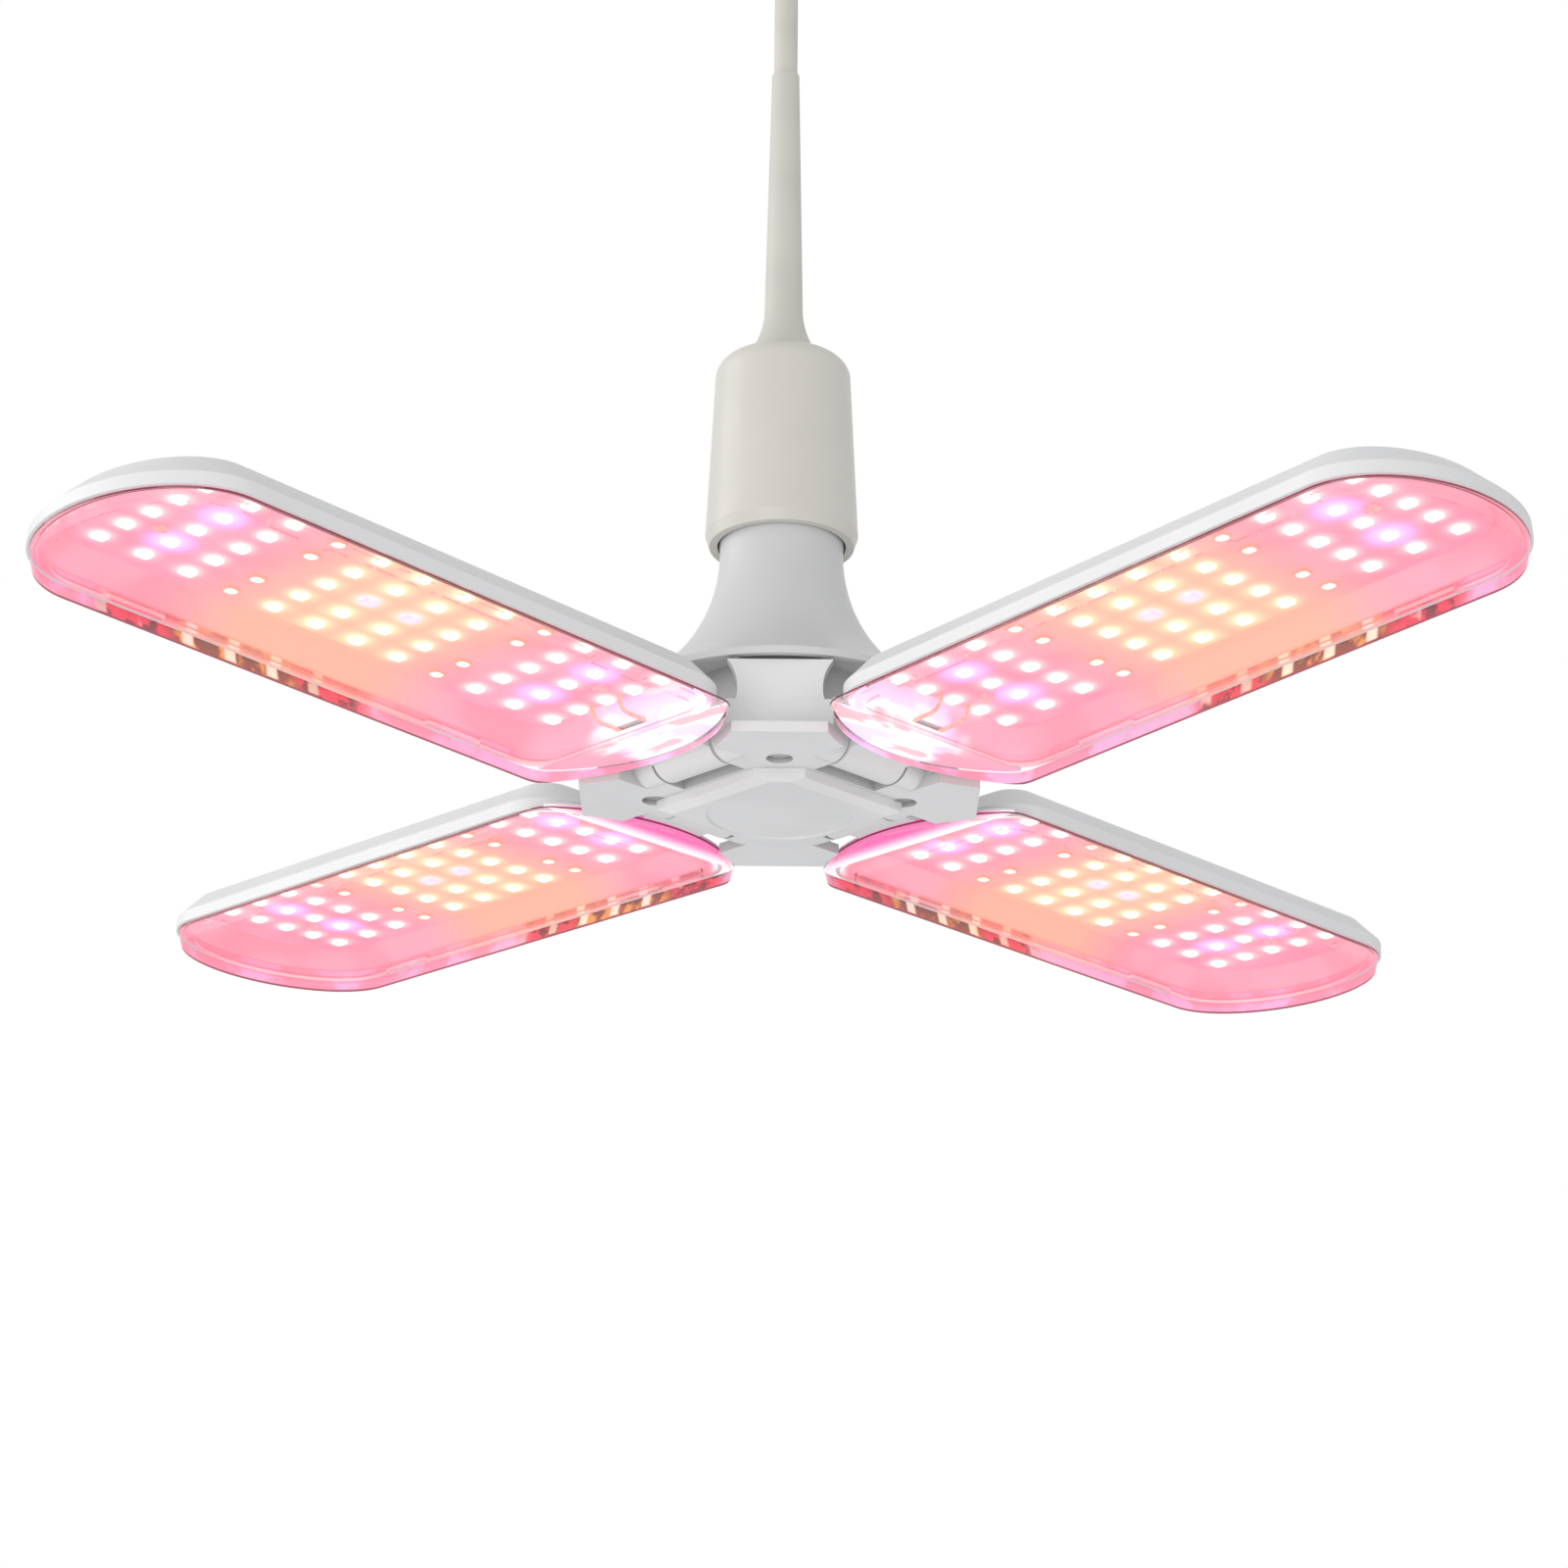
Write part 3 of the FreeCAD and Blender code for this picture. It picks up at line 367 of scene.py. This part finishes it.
def dark_glass(name):
    """Dark glass insulator with a fire-polished skin."""
    f = Finish.named(name)
    flow = f.noise(110.0, 3.0)
    shade = f.tint(*GLASS_DARKS, f.ease(flow, 0.4, 0.7))
    return f.close(Base_Color=shade, Roughness=f.ease(flow, 0.3, 0.7, 0.08, 0.2), Coat_Weight=0.4,
                   Normal=f.bump(flow, 0.0003, 0.4))


def green_laminate(name):
    """Circuit board with copper runs under a green mask."""
    f = Finish.named(name)
    where = f.node("Mapping", inputs={"Vector": f.place, "Rotation": (math.pi / 2, 0, 0)})
    layout = {"Vector": where, "Scale": 210.0, "Mortar Size": 0.14, "Mortar Smooth": 0.2,
              "Brick Width": 0.9, "Row Height": 0.45}
    runs = f.node("TexBrick", {"offset": 0.5}, layout, out="Fac")
    weave = f.noise(1400.0, 2.0, 0.5, (1, 1, 0.3))
    shade = f.tint(*LAMINATE_GREENS, runs)
    return f.close(Base_Color=shade, Roughness=f.ease(weave, 0.3, 0.7, 0.3, 0.48), Coat_Weight=0.25,
                   Normal=f.bump(runs + weave * 0.2, 0.00004, 0.7))


def driver_finish(name):
    """Dark sleeve on the capacitor, copper turns on the coil with painted shade between them, black
    rectifier.
    """
    f = Finish.named(name)
    y, z = f.axis(1), f.axis(2)
    turns = (z * (2 * math.pi / COIL_PITCH)).math("SINE")
    fine = f.noise(900.0, 3.0)
    on_coil = (y < COIL_SIDE) * (z < COIL_TOP)
    stripe = f.ease(y, *SLEEVE_STRIPE)
    sleeve = f.tint(*SLEEVE_AND_STRIPE, stripe)
    # Painted shade: the copper darkens between the coil's turns, on the same wave as the bump
    copper = f.tint(*COPPERS, f.ease(turns, -0.6, 0.6))
    shade = f.tint(f.tint(RECTIFIER_BLACK, sleeve, y > 0.0), copper, on_coil)
    return f.close(Base_Color=shade, Metallic=on_coil * 0.8, Roughness=f.ease(fine, 0.3, 0.7, 0.3, 0.5),
                   Normal=f.bump(turns * on_coil + fine * 0.2, 0.0002, 0.6))


def pale_insulator(name, colour):
    """Fired or moulded pale insulator with a slightly uneven skin."""
    f = Finish.named(name)
    skin = f.noise(260.0, 4.0, 0.6)
    pits = f.node("TexVoronoi", {"feature": "F1"}, {"Vector": f.place, "Scale": 500.0}, out="Distance")
    shade = f.tint(dimmed(colour, 0.9), colour, f.ease(skin, 0.3, 0.65))
    return f.close(Base_Color=shade, Roughness=f.ease(skin, 0.3, 0.7, 0.35, 0.55),
                   Normal=f.bump(skin + f.ease(pits, 0.0, 0.25) * 0.4, 0.00012, 0.5))


def lead_finish(name):
    """Insulated lead: soft red sleeve with a faint lay, paled by painted light of the lamps round it and
    given a painted glow.
    """
    f = Finish.named(name)
    lay = f.noise(700.0, 3.0)
    shade = f.tint(*LEAD_REDS, f.ease(lay, 0.3, 0.7))
    return f.close(Base_Color=shade, Roughness=f.ease(lay, 0.2, 0.8, 0.38, 0.55), Emission_Color=shade,
                   Emission_Strength=LEAD_GLOW, Normal=f.bump(lay, 0.00006, 0.5))


def small_screw(name):
    """Plated board screw that takes the coral of the lamps round it as painted light, with a painted glow."""
    f = Finish.named(name)
    marks = f.noise(1100.0, 3.0, 0.6)
    shade = f.tint(*SCREW_CORALS, f.ease(marks, 0.35, 0.65))
    return f.close(Base_Color=shade, Metallic=0.4, Roughness=f.ease(marks, 0.2, 0.8, 0.35, 0.55),
                   Emission_Color=shade, Emission_Strength=SCREW_GLOW, Normal=f.bump(marks, 0.00004, 0.5))


def leaf_angles(leaf):
    """Turn of a leaf round the lamp and its tilt at rest, in radians."""
    return math.radians(LEAF_TURNS[leaf]), math.radians(LEAF_TILTS[leaf])


def leaf_frame(f, leaf):
    """Distance along a leaf from the lamp's axis, across it and above its parting plane, in millimetres."""
    turn, tilt = leaf_angles(leaf)
    x, y, z = f.axis(0), f.axis(1), f.axis(2)
    out = x * math.cos(turn) + y * math.sin(turn) - HINGE_RADIUS
    across = y * math.cos(turn) - x * math.sin(turn)
    rise = z - HINGE_HEIGHT
    along = out * math.cos(tilt) + rise * math.sin(tilt) + HINGE_RADIUS
    above = rise * math.cos(tilt) - out * math.sin(tilt) + (HINGE_HEIGHT - PARTING_HEIGHT)
    return along * 1000.0, across * 1000.0, above * 1000.0


def leaf_facing(f, leaf, along, across):
    """How much a surface faces up or down the leaf, from 0 to 1, and how far it faces out of the leaf."""
    turn, tilt = leaf_angles(leaf)
    normal = f.node("TexCoord", out="Normal")

    def share(direction):
        return f.node("VectorMath", {"operation": "DOT_PRODUCT"}, {0: normal, 1: direction}, out="Value")

    up = share((-math.sin(tilt) * math.cos(turn), -math.sin(tilt) * math.sin(turn), math.cos(tilt)))
    forth = share((math.cos(tilt) * math.cos(turn), math.cos(tilt) * math.sin(turn), math.sin(tilt)))
    sideways = share((-math.sin(turn), math.cos(turn), 0.0))
    return abs(up), forth * (along - LED_MIDDLE) + sideways * across


def tip_spread(along, across, inset):
    """Under 1 inside the leaf's long sides and rounded tip, drawn in by the inset, and over 1 outside."""
    past_side = (along - TIP_START).math("MAXIMUM", 0.0) / (TIP_DEPTH - inset)
    off_middle = across / (LEAF_HALF_WIDTH - inset)
    return past_side * past_side + off_middle * off_middle


def lens_rim(along, across, inset):
    """1 in the strip of that width along the tray's outline, else 0."""
    by_side = tip_spread(along, across, inset) > 1.0
    from_bow = (along - END_CENTRE) * (along - END_CENTRE) + across * across
    by_end = (from_bow > (END_BOW - inset) ** 2) * (along < END_REACH)
    return by_side.math("MAXIMUM", by_end)


def glow(distance_squared, reach):
    """Soft round glow that fades with distance."""
    return (distance_squared * (-1.0 / (reach * reach))).math("EXPONENT")


def led_lattice(f, along, across):
    """Squared distance to the nearest lamp, 1 where lamps are lit, the warm middle, blue and violet glow."""
    column = abs(along - LED_MIDDLE) / LED_PITCH - 0.5
    row = across / LED_ROW
    off_column = (column - column.math("ROUND")) * LED_PITCH
    off_row = (row - row.math("ROUND")) * LED_ROW
    near_lamp = off_column * off_column + off_row * off_row
    inside = (column < LED_COLUMNS / 2 - 0.51) * (abs(row) < LED_ROWS / 2 - 0.01)
    dim = f.fade(abs(column - DIM_COLUMN), 0.4, 0.5)
    warm = f.fade(column, 0.6, 3.2)
    blue_column = (column - BLUE_COLUMN) * LED_PITCH
    blue_row = (abs(row) - BLUE_ROW) * LED_ROW
    blue = glow(blue_column * blue_column + blue_row * blue_row, BLUE_REACH)
    violet_column = column * LED_PITCH
    violet = glow(violet_column * violet_column + across * across, VIOLET_REACH)
    return near_lamp, inside * (1 - dim), warm, blue, violet


def board_finish(leaf):
    """White-coated board with the light of its lamps painted on and a painted glow: coral ends, a peach
    middle and lilac round the blue lamps.
    """
    f = Finish.named("leaf_" + leaf + "_board_painted_light")
    along, across, _ = leaf_frame(f, leaf)
    near_lamp, lit, warm, blue, violet = led_lattice(f, along, across)
    # Painted lamp light on a white board: coral ends, a peach middle, amber and pale halos round the lamps,
    # lilac round the blue lamps
    cloud = f.noise(60.0, 3.0)
    coral = f.tint(*CORALS, f.ease(cloud, 0.35, 0.65))
    coat_and_painted_light = f.tint(coral, PEACH, warm)
    amber = f.fade(abs(along - LED_MIDDLE), *AMBER_REACH)
    coat_and_painted_light = f.tint(coat_and_painted_light, AMBER, glow(near_lamp, AMBER_SPREAD) * lit * amber * 0.6)
    coat_and_painted_light = f.tint(coat_and_painted_light, LILAC, f.ease(blue + violet * 0.7, 0.1, 0.95))
    halo = f.tint(f.tint(PALE_HALO, WARM_HALO, warm), BLUE_HALO, blue)
    coat_and_painted_light = f.tint(coat_and_painted_light, halo, glow(near_lamp, HALO_SPREAD) * lit)
    tracks = f.fade(abs(across - (across / LED_ROW).math("ROUND") * LED_ROW), 0.5, 0.8)
    fine = f.noise(1500.0, 2.0)
    return f.close(Base_Color=coat_and_painted_light, Roughness=f.ease(fine, 0.3, 0.7, 0.42, 0.58), Emission_Color=coat_and_painted_light,
                   Emission_Strength=BOARD_GLOW, Normal=f.bump(tracks + fine * 0.2, 0.00005, 0.5))


def lamp_finish(leaf, kind):
    """Lit LED chips: a soft phosphor face with a brighter middle."""
    f = Finish.named("leaf_" + leaf + "_" + kind + "_lamps")
    along, across, _ = leaf_frame(f, leaf)
    near_lamp, _, warm, _, violet = led_lattice(f, along, across)
    middle = f.fade(near_lamp, 1.2, 4.4)
    grain = f.noise(2400.0, 2.0)
    if kind == "white":
        edge = f.tint(*CHIP_EDGES, warm)
        colour = f.tint(edge, CHIP_CREAM, middle)
    elif kind == "blue":
        colour = f.tint(*BLUE_CHIP, middle)
        colour = f.tint(colour, VIOLET_CHIP, f.ease(violet, 0.3, 0.6) * 0.85)
    else:
        facing, _ = leaf_facing(f, leaf, along, across)
        face = f.ease(facing, 0.6, 0.9) * f.fade(near_lamp, 1.3, 3.2)
        colour = f.tint(*RED_CHIP, face)
    return f.close(Base_Color=colour, Roughness=f.ease(grain, 0.3, 0.7, 0.3, 0.5), Emission_Color=colour,
                   Emission_Strength=LAMP_GLOW[kind], Normal=f.bump(grain, 0.00003, 0.4))


def lens_finish(leaf):
    """Clear tray: bare floor, pale near wall, and a far wall with painted reflections of the lamps in gold,
    brown and red, all with a painted glow.
    """
    f = Finish.named("leaf_" + leaf + "_clear_tray")
    along, across, above = leaf_frame(f, leaf)
    facing, outward = leaf_facing(f, leaf, along, across)
    wall = f.fade(facing, 0.7, 0.93)
    far_side = f.fade(outward, -4.0, 4.0)
    rim = lens_rim(along, across, RIM_WIDTH)
    caught = f.noise(70.0, 3.0, 0.55)
    broken = f.noise(190.0, 3.0, 0.6)

    # Rim of the far wall, with painted reflections of the lamps' colours in it and a dark line at its foot
    from_gold = abs(along - GOLD_PLACE[leaf])
    gold = f.fade(from_gold, *GOLD_REACH)
    red = f.fade(from_gold, *RED_REACH)
    rosy = f.tint(ROSE, ORCHID, f.ease(caught, 0.44, 0.6))
    crimson = f.tint(CRIMSON, DARK_CRIMSON, f.ease(broken, 0.48, 0.6))
    brown = f.tint(BROWN, GOLD, f.ease(broken, 0.46, 0.64))
    image = f.tint(f.tint(rosy, crimson, red), brown, gold)
    # Cream spots at the lamps' pitch are painted reflections of the lamps
    beat = ((along - LED_FIRST) * (2 * math.pi / LED_PITCH)).math("COSINE")
    spots = f.ease(beat, 0.5, 0.9) * (gold + red * f.ease(caught, 0.48, 0.56) * 0.6).math("MINIMUM", 1.0)
    image = f.tint(image, CREAM, spots * f.ease(above, *SPOT_BAND))
    image = f.tint(image, MAROON, f.fade(above, *FOOT_LINE))

    # Rest of the far wall, flushed with painted lamp light like the board, with a painted highlight band and
    # a hair line
    warm = f.fade(abs(along - LED_MIDDLE), *WARM_REACH)
    flush = f.tint(*WALL_FLUSH, warm)
    flush = f.tint(flush, PALE_BAND, f.fade(abs(above - PALE_HEIGHT), 0.35, 0.6) * 0.8)
    hair = f.fade(abs(above - HAIR_HEIGHT), 0.1, 0.2) * f.ease(broken, 0.36, 0.46)
    flush = f.tint(flush, HAIR_BROWN, hair)
    far = f.tint(flush, image, rim)

    # Near wall, pale with broken painted reflection streaks and a dark line under the casing
    reflected_streak = f.fade(abs(above - REFLECTED_STREAK_HEIGHT), 0.15, 0.35) * f.ease(broken, 0.46, 0.52)
    parting = f.ease(above, *PARTING_LINE) * rim
    near = f.tint(*NEAR_WALL, reflected_streak)
    near = f.tint(near, DARK_MAROON, parting)

    shade = f.tint(TRAY_FLOOR, f.tint(near, far, far_side), wall)
    veil_far = FAR_VEIL + rim * 0.52 + hair * 0.3
    veil_near = NEAR_VEIL + reflected_streak * 0.5 + parting * 0.8
    veil = veil_near + (veil_far - veil_near) * far_side
    cover = FLOOR_VEIL + wall * (veil - FLOOR_VEIL)
    ripple = f.noise(180.0, 2.0)
    # The tray's painted colour also glows, though the tray is no lamp
    return f.close(Base_Color=shade, Roughness=f.ease(ripple, 0.3, 0.7, 0.05, 0.12), Alpha=cover, IOR=1.5,
                   Emission_Color=shade, Emission_Strength=LENS_GLOW, Normal=f.bump(ripple, 0.0002, 0.25))


def casing_finish(leaf):
    """Grey-white moulded back. Its inside and the underside of its apron catch the pink of the lamps as
    painted light, with a painted glow.
    """
    f = Finish.named("leaf_" + leaf + "_casing_plastic")
    along, across, above = leaf_frame(f, leaf)
    drift = f.noise(CLOUD_SCALE, 2.0)
    fine = f.noise(SPARK_SCALE, 2.0, 0.6)
    plain = f.tint(*CASING_WHITES, f.ease(drift, 0.3, 0.7))

    # Where the casing is hollow, and the underside of its apron, which take the painted lamp light
    skin = CASING_SKIN + (above - BEVEL_START).math("MAXIMUM", 0.0)
    within = tip_spread(along, across, skin) < 1.0
    short = ((SHOULDER + SHOULDER_CORNER) - along).math("MAXIMUM", 0.0)
    wide = (abs(across) - (LEAF_HALF_WIDTH - SHOULDER_CORNER)).math("MAXIMUM", 0.0)
    in_corner = (short * short + wide * wide) < (SHOULDER_CORNER - skin) * (SHOULDER_CORNER - skin)
    hollow = within * in_corner * (above < HOLLOW_TOP)
    under = (above < APRON_TOP) * (along < APRON_END) * (along > APRON_START)
    apron = under * (1 - lens_rim(along, across, APRON_EDGE))
    inside = hollow.math("MAXIMUM", apron)

    # Painted lamp light: pink inside the casing, warmer towards the middle of the leaf
    warm = f.fade(abs(along - LED_MIDDLE), *WARM_REACH)
    painted_lamp_pink = f.tint(*CASING_PAINTED_PINKS, f.ease(drift, 0.4, 0.6))
    painted_lamp_pink = f.tint(painted_lamp_pink, WARM_PAINTED_PINK, warm)
    # Painted reflections at the inner end: pale to magenta on the far leaves, pale, rose and coral patches on
    # the near ones
    if leaf in FAR_LEAVES:
        pale = f.tint(*FAR_END, f.fade(along, 42.0, 50.0))
    else:
        where = f.node("CombineXYZ", inputs={0: along * 0.16, 1: across * 0.05})
        facets = f.node("TexNoise", inputs={"Vector": where, "Scale": 1.0, "Detail": 2.0})
        side = across * FAR_SIDE[leaf]
        pale = f.tint(*NEAR_END, f.ease(facets, 0.48, 0.56))
        pale = f.tint(pale, NEAR_END_ROSE, f.fade(facets, 0.38, 0.44))
        pale = f.tint(pale, NEAR_END_CORAL, f.ease(side + facets * 30.0, 20.0, 30.0))
    painted_lamp_pink = f.tint(painted_lamp_pink, pale, apron.math("MAXIMUM", f.fade(along, 50.0, 58.0)))
    shade = f.tint(plain, painted_lamp_pink, inside)
    # The inside glows with the painted pink, though the casing is no lamp
    spark = f.tint((0.0, 0.0, 0.0), painted_lamp_pink, inside)
    return f.close(Base_Color=shade, Roughness=f.ease(fine, 0.2, 0.8, 0.38, 0.5), Emission_Color=spark,
                   Emission_Strength=CASING_GLOW, Normal=f.bump(fine, SPARK_DEPTH, 0.6))


def cord_finish(name):
    """Warm grey sheath with faint marks drawn out along the cord."""
    f = Finish.named(name)
    drift = f.noise(60.0, 3.0)
    drag = f.noise(700.0, 3.0, 0.5, (1, 1, 0.05))
    shade = f.tint(*CORD_GREYS, f.ease(drift, 0.3, 0.65))
    return f.close(Base_Color=shade, Roughness=f.ease(drag, 0.2, 0.8, 0.42, 0.58),
                   Normal=f.bump(drag, 0.00005, 0.5))


def dress(names, material):
    """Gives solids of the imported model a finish."""
    for name in names:
        slots = nodes[name].data.materials
        slots.clear()
        slots.append(material)


def hang_cord():
    """Taut cord from the lampholder to the terminal in the ceiling cup."""
    line = bpy.data.curves.new("pendant_cord_line", "CURVE")
    line.dimensions = "3D"
    spline = line.splines.new("NURBS")
    spline.points.add(CORD_POINTS - 1)
    for k, point in enumerate(spline.points):
        height = CORD_LOW + (CORD_HIGH - CORD_LOW) * k / (CORD_POINTS - 1)
        point.co = (0.0, 0.0, height, 1.0)
    spline.order_u = 3
    spline.use_endpoint_u = True
    line.bevel_depth = CORD_WIDTH / 2
    line.bevel_resolution = 8
    line.use_fill_caps = True
    line.materials.append(cord_finish("cord_sheath"))
    cord = bpy.data.objects.new("hanging_cord", line)
    bpy.context.collection.objects.link(cord)
    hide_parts("pendant_cord")
    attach(cord, "lamp")


def place_camera():
    """Camera at the photograph's angle, solved from the leaves' edges."""
    lens = bpy.data.cameras.new("viewer")
    lens.sensor_width = SENSOR_WIDTH
    lens.lens = FOCAL_PIXELS / PHOTO_PIXELS * SENSOR_WIDTH
    viewer = bpy.data.objects.new("viewer", lens)
    bpy.context.collection.objects.link(viewer)
    rise = Matrix.Rotation(math.radians(90 + VIEW_RISE), 4, "X")
    roll = Matrix.Rotation(math.radians(VIEW_ROLL), 4, "Z")
    viewer.matrix_world = Matrix.Translation(VIEW_PLACE) @ (rise @ roll)
    bpy.context.scene.camera = viewer


def soft_box(name, place, target, width, power, colour):
    """Large square lamp aimed at a point."""
    lamp = bpy.data.lights.new(name, "AREA")
    lamp.shape = "SQUARE"
    lamp.size = width
    lamp.energy = power
    lamp.color = colour
    holder = bpy.data.objects.new(name, lamp)
    bpy.context.collection.objects.link(holder)
    holder.location = place
    holder.rotation_euler = (Vector(target) - Vector(place)).to_track_quat("-Z", "Y").to_euler()


def pale_ground():
    """Plain pale floor of a room, far below the lamp."""
    side = FLOOR_HALF_SIDE
    mesh = bpy.data.meshes.new("studio_floor")
    corners = [(-side, -side, 0), (side, -side, 0), (side, side, 0), (-side, side, 0)]
    mesh.from_pydata(corners, [], [(0, 1, 2, 3)])
    floor = bpy.data.objects.new("studio_floor", mesh)
    bpy.context.collection.objects.link(floor)
    floor.location = (0, 0, FLOOR_HEIGHT)
    f = Finish.named("studio_paper")
    shade = f.tint(*FLOOR_WHITES, f.noise(6.0, 3.0))
    mesh.materials.append(f.close(Base_Color=shade, Roughness=0.9))


def studio_air():
    """White surroundings for the eye and for gloss, plain soft light for the object."""
    world = bpy.data.worlds.new("studio_air")
    bpy.context.scene.world = world
    f = Finish(world)
    rays = [f.node("LightPath", out="Is " + kind + " Ray") for kind in ("Camera", "Glossy", "Transmission")]
    seen = rays[0].math("MAXIMUM", rays[1]).math("MAXIMUM", rays[2])
    light = f.node("Background", inputs={"Color": AIR_COLOUR, "Strength": AIR_STRENGTH})
    white = f.node("Background", inputs={"Color": WHITE, "Strength": 1.0})
    shown = f.node("MixShader", inputs={0: seen, 1: light, 2: white})
    f.node("OutputWorld", inputs={"Surface": shown})


def dress_lamp():
    """Finishes of the pieces that hang still: ceiling fitting, holder, cap, neck, driver and hub."""
    dress(["holder_shell"], moulded("holder_plastic", WARM_WHITE, rough=0.36, cloud=0.02, seam=1))
    dress(["strain_boot"], moulded("boot_plastic", CREAM_GREY, rough=0.5))
    dress(["rose_cup", "cord_grip"], moulded("ceiling_cup_plastic", WARM_WHITE, rough=0.4))
    dress(["neck_shell"], moulded("bell_plastic", GREY_WHITE, rough=0.4, cloud=0.02))
    # The hub and the bottom cover get painted shade in their hollows
    dress(["hub_body"], moulded("hub_plastic", HUB_WHITE, cloud=0.02, hollow_shade=0.45))
    cover_plastic = moulded("cover_plastic", HUB_WHITE, rough=0.45, grain=2 * SPARK_DEPTH, hollow_shade=0.08)
    dress(["bottom_cover"], cover_plastic)
    dress(["hinge_washers"], moulded("washer_nylon", WASHER_NYLON, rough=0.5))
    dress(["holder_insert"], pale_insulator("insert_porcelain", PORCELAIN))
    dress(["rose_terminal"], pale_insulator("terminal_nylon", TERMINAL_NYLON))
    dress(["cap_shell"], screw_thread("cap_nickel", NICKEL))
    dress(["holder_sleeve"], screw_thread("sleeve_brass", SLEEVE_BRASS))
    dress(["cap_insulator"], dark_glass("cap_glass"))
    dress(["cap_contact", "holder_contacts"], worked_metal("contact_brass", CONTACT_BRASS, rough=0.3))
    dress(["hinge_pins"], worked_metal("pin_steel", PIN_STEEL, rough=0.25))
    screw_zinc = worked_metal("screw_zinc", SCREW_ZINC, rough=0.35, stretch=(1, 1, 1))
    dress(["hub_screws", "rose_screws"], screw_zinc)
    galvanised = worked_metal("bracket_galvanised", BRACKET_STEEL, rough=0.42, stretch=(8, 1, 1), tarnish=0.2)
    dress(["rose_bracket"], galvanised)
    dress(["driver_board"], green_laminate("driver_laminate"))
    dress(["driver_parts"], driver_finish("driver_components"))


def dress_leaves():
    """Finishes of the four leaves, each in its own frame."""
    board_screw_metal = small_screw("board_screw_steel")
    lead_sleeve = lead_finish("lead_sleeve")
    for leaf in LEAF_TURNS:
        prefix = "leaf_" + leaf + "_"
        dress([prefix + "casing"], casing_finish(leaf))
        dress([prefix + "lens"], lens_finish(leaf))
        dress([prefix + "led_board"], board_finish(leaf))
        for kind in LAMP_GLOW:
            dress([prefix + kind + "_leds"], lamp_finish(leaf, kind))
        dress([prefix + "board_screws"], board_screw_metal)
        dress([prefix + "wires"], lead_sleeve)


dress_lamp()
dress_leaves()
hang_cord()
place_camera()
pale_ground()
studio_air()
for light_row in STUDIO_LIGHTS:
    soft_box(*light_row)

bpy.context.scene.view_settings.view_transform = "Standard"
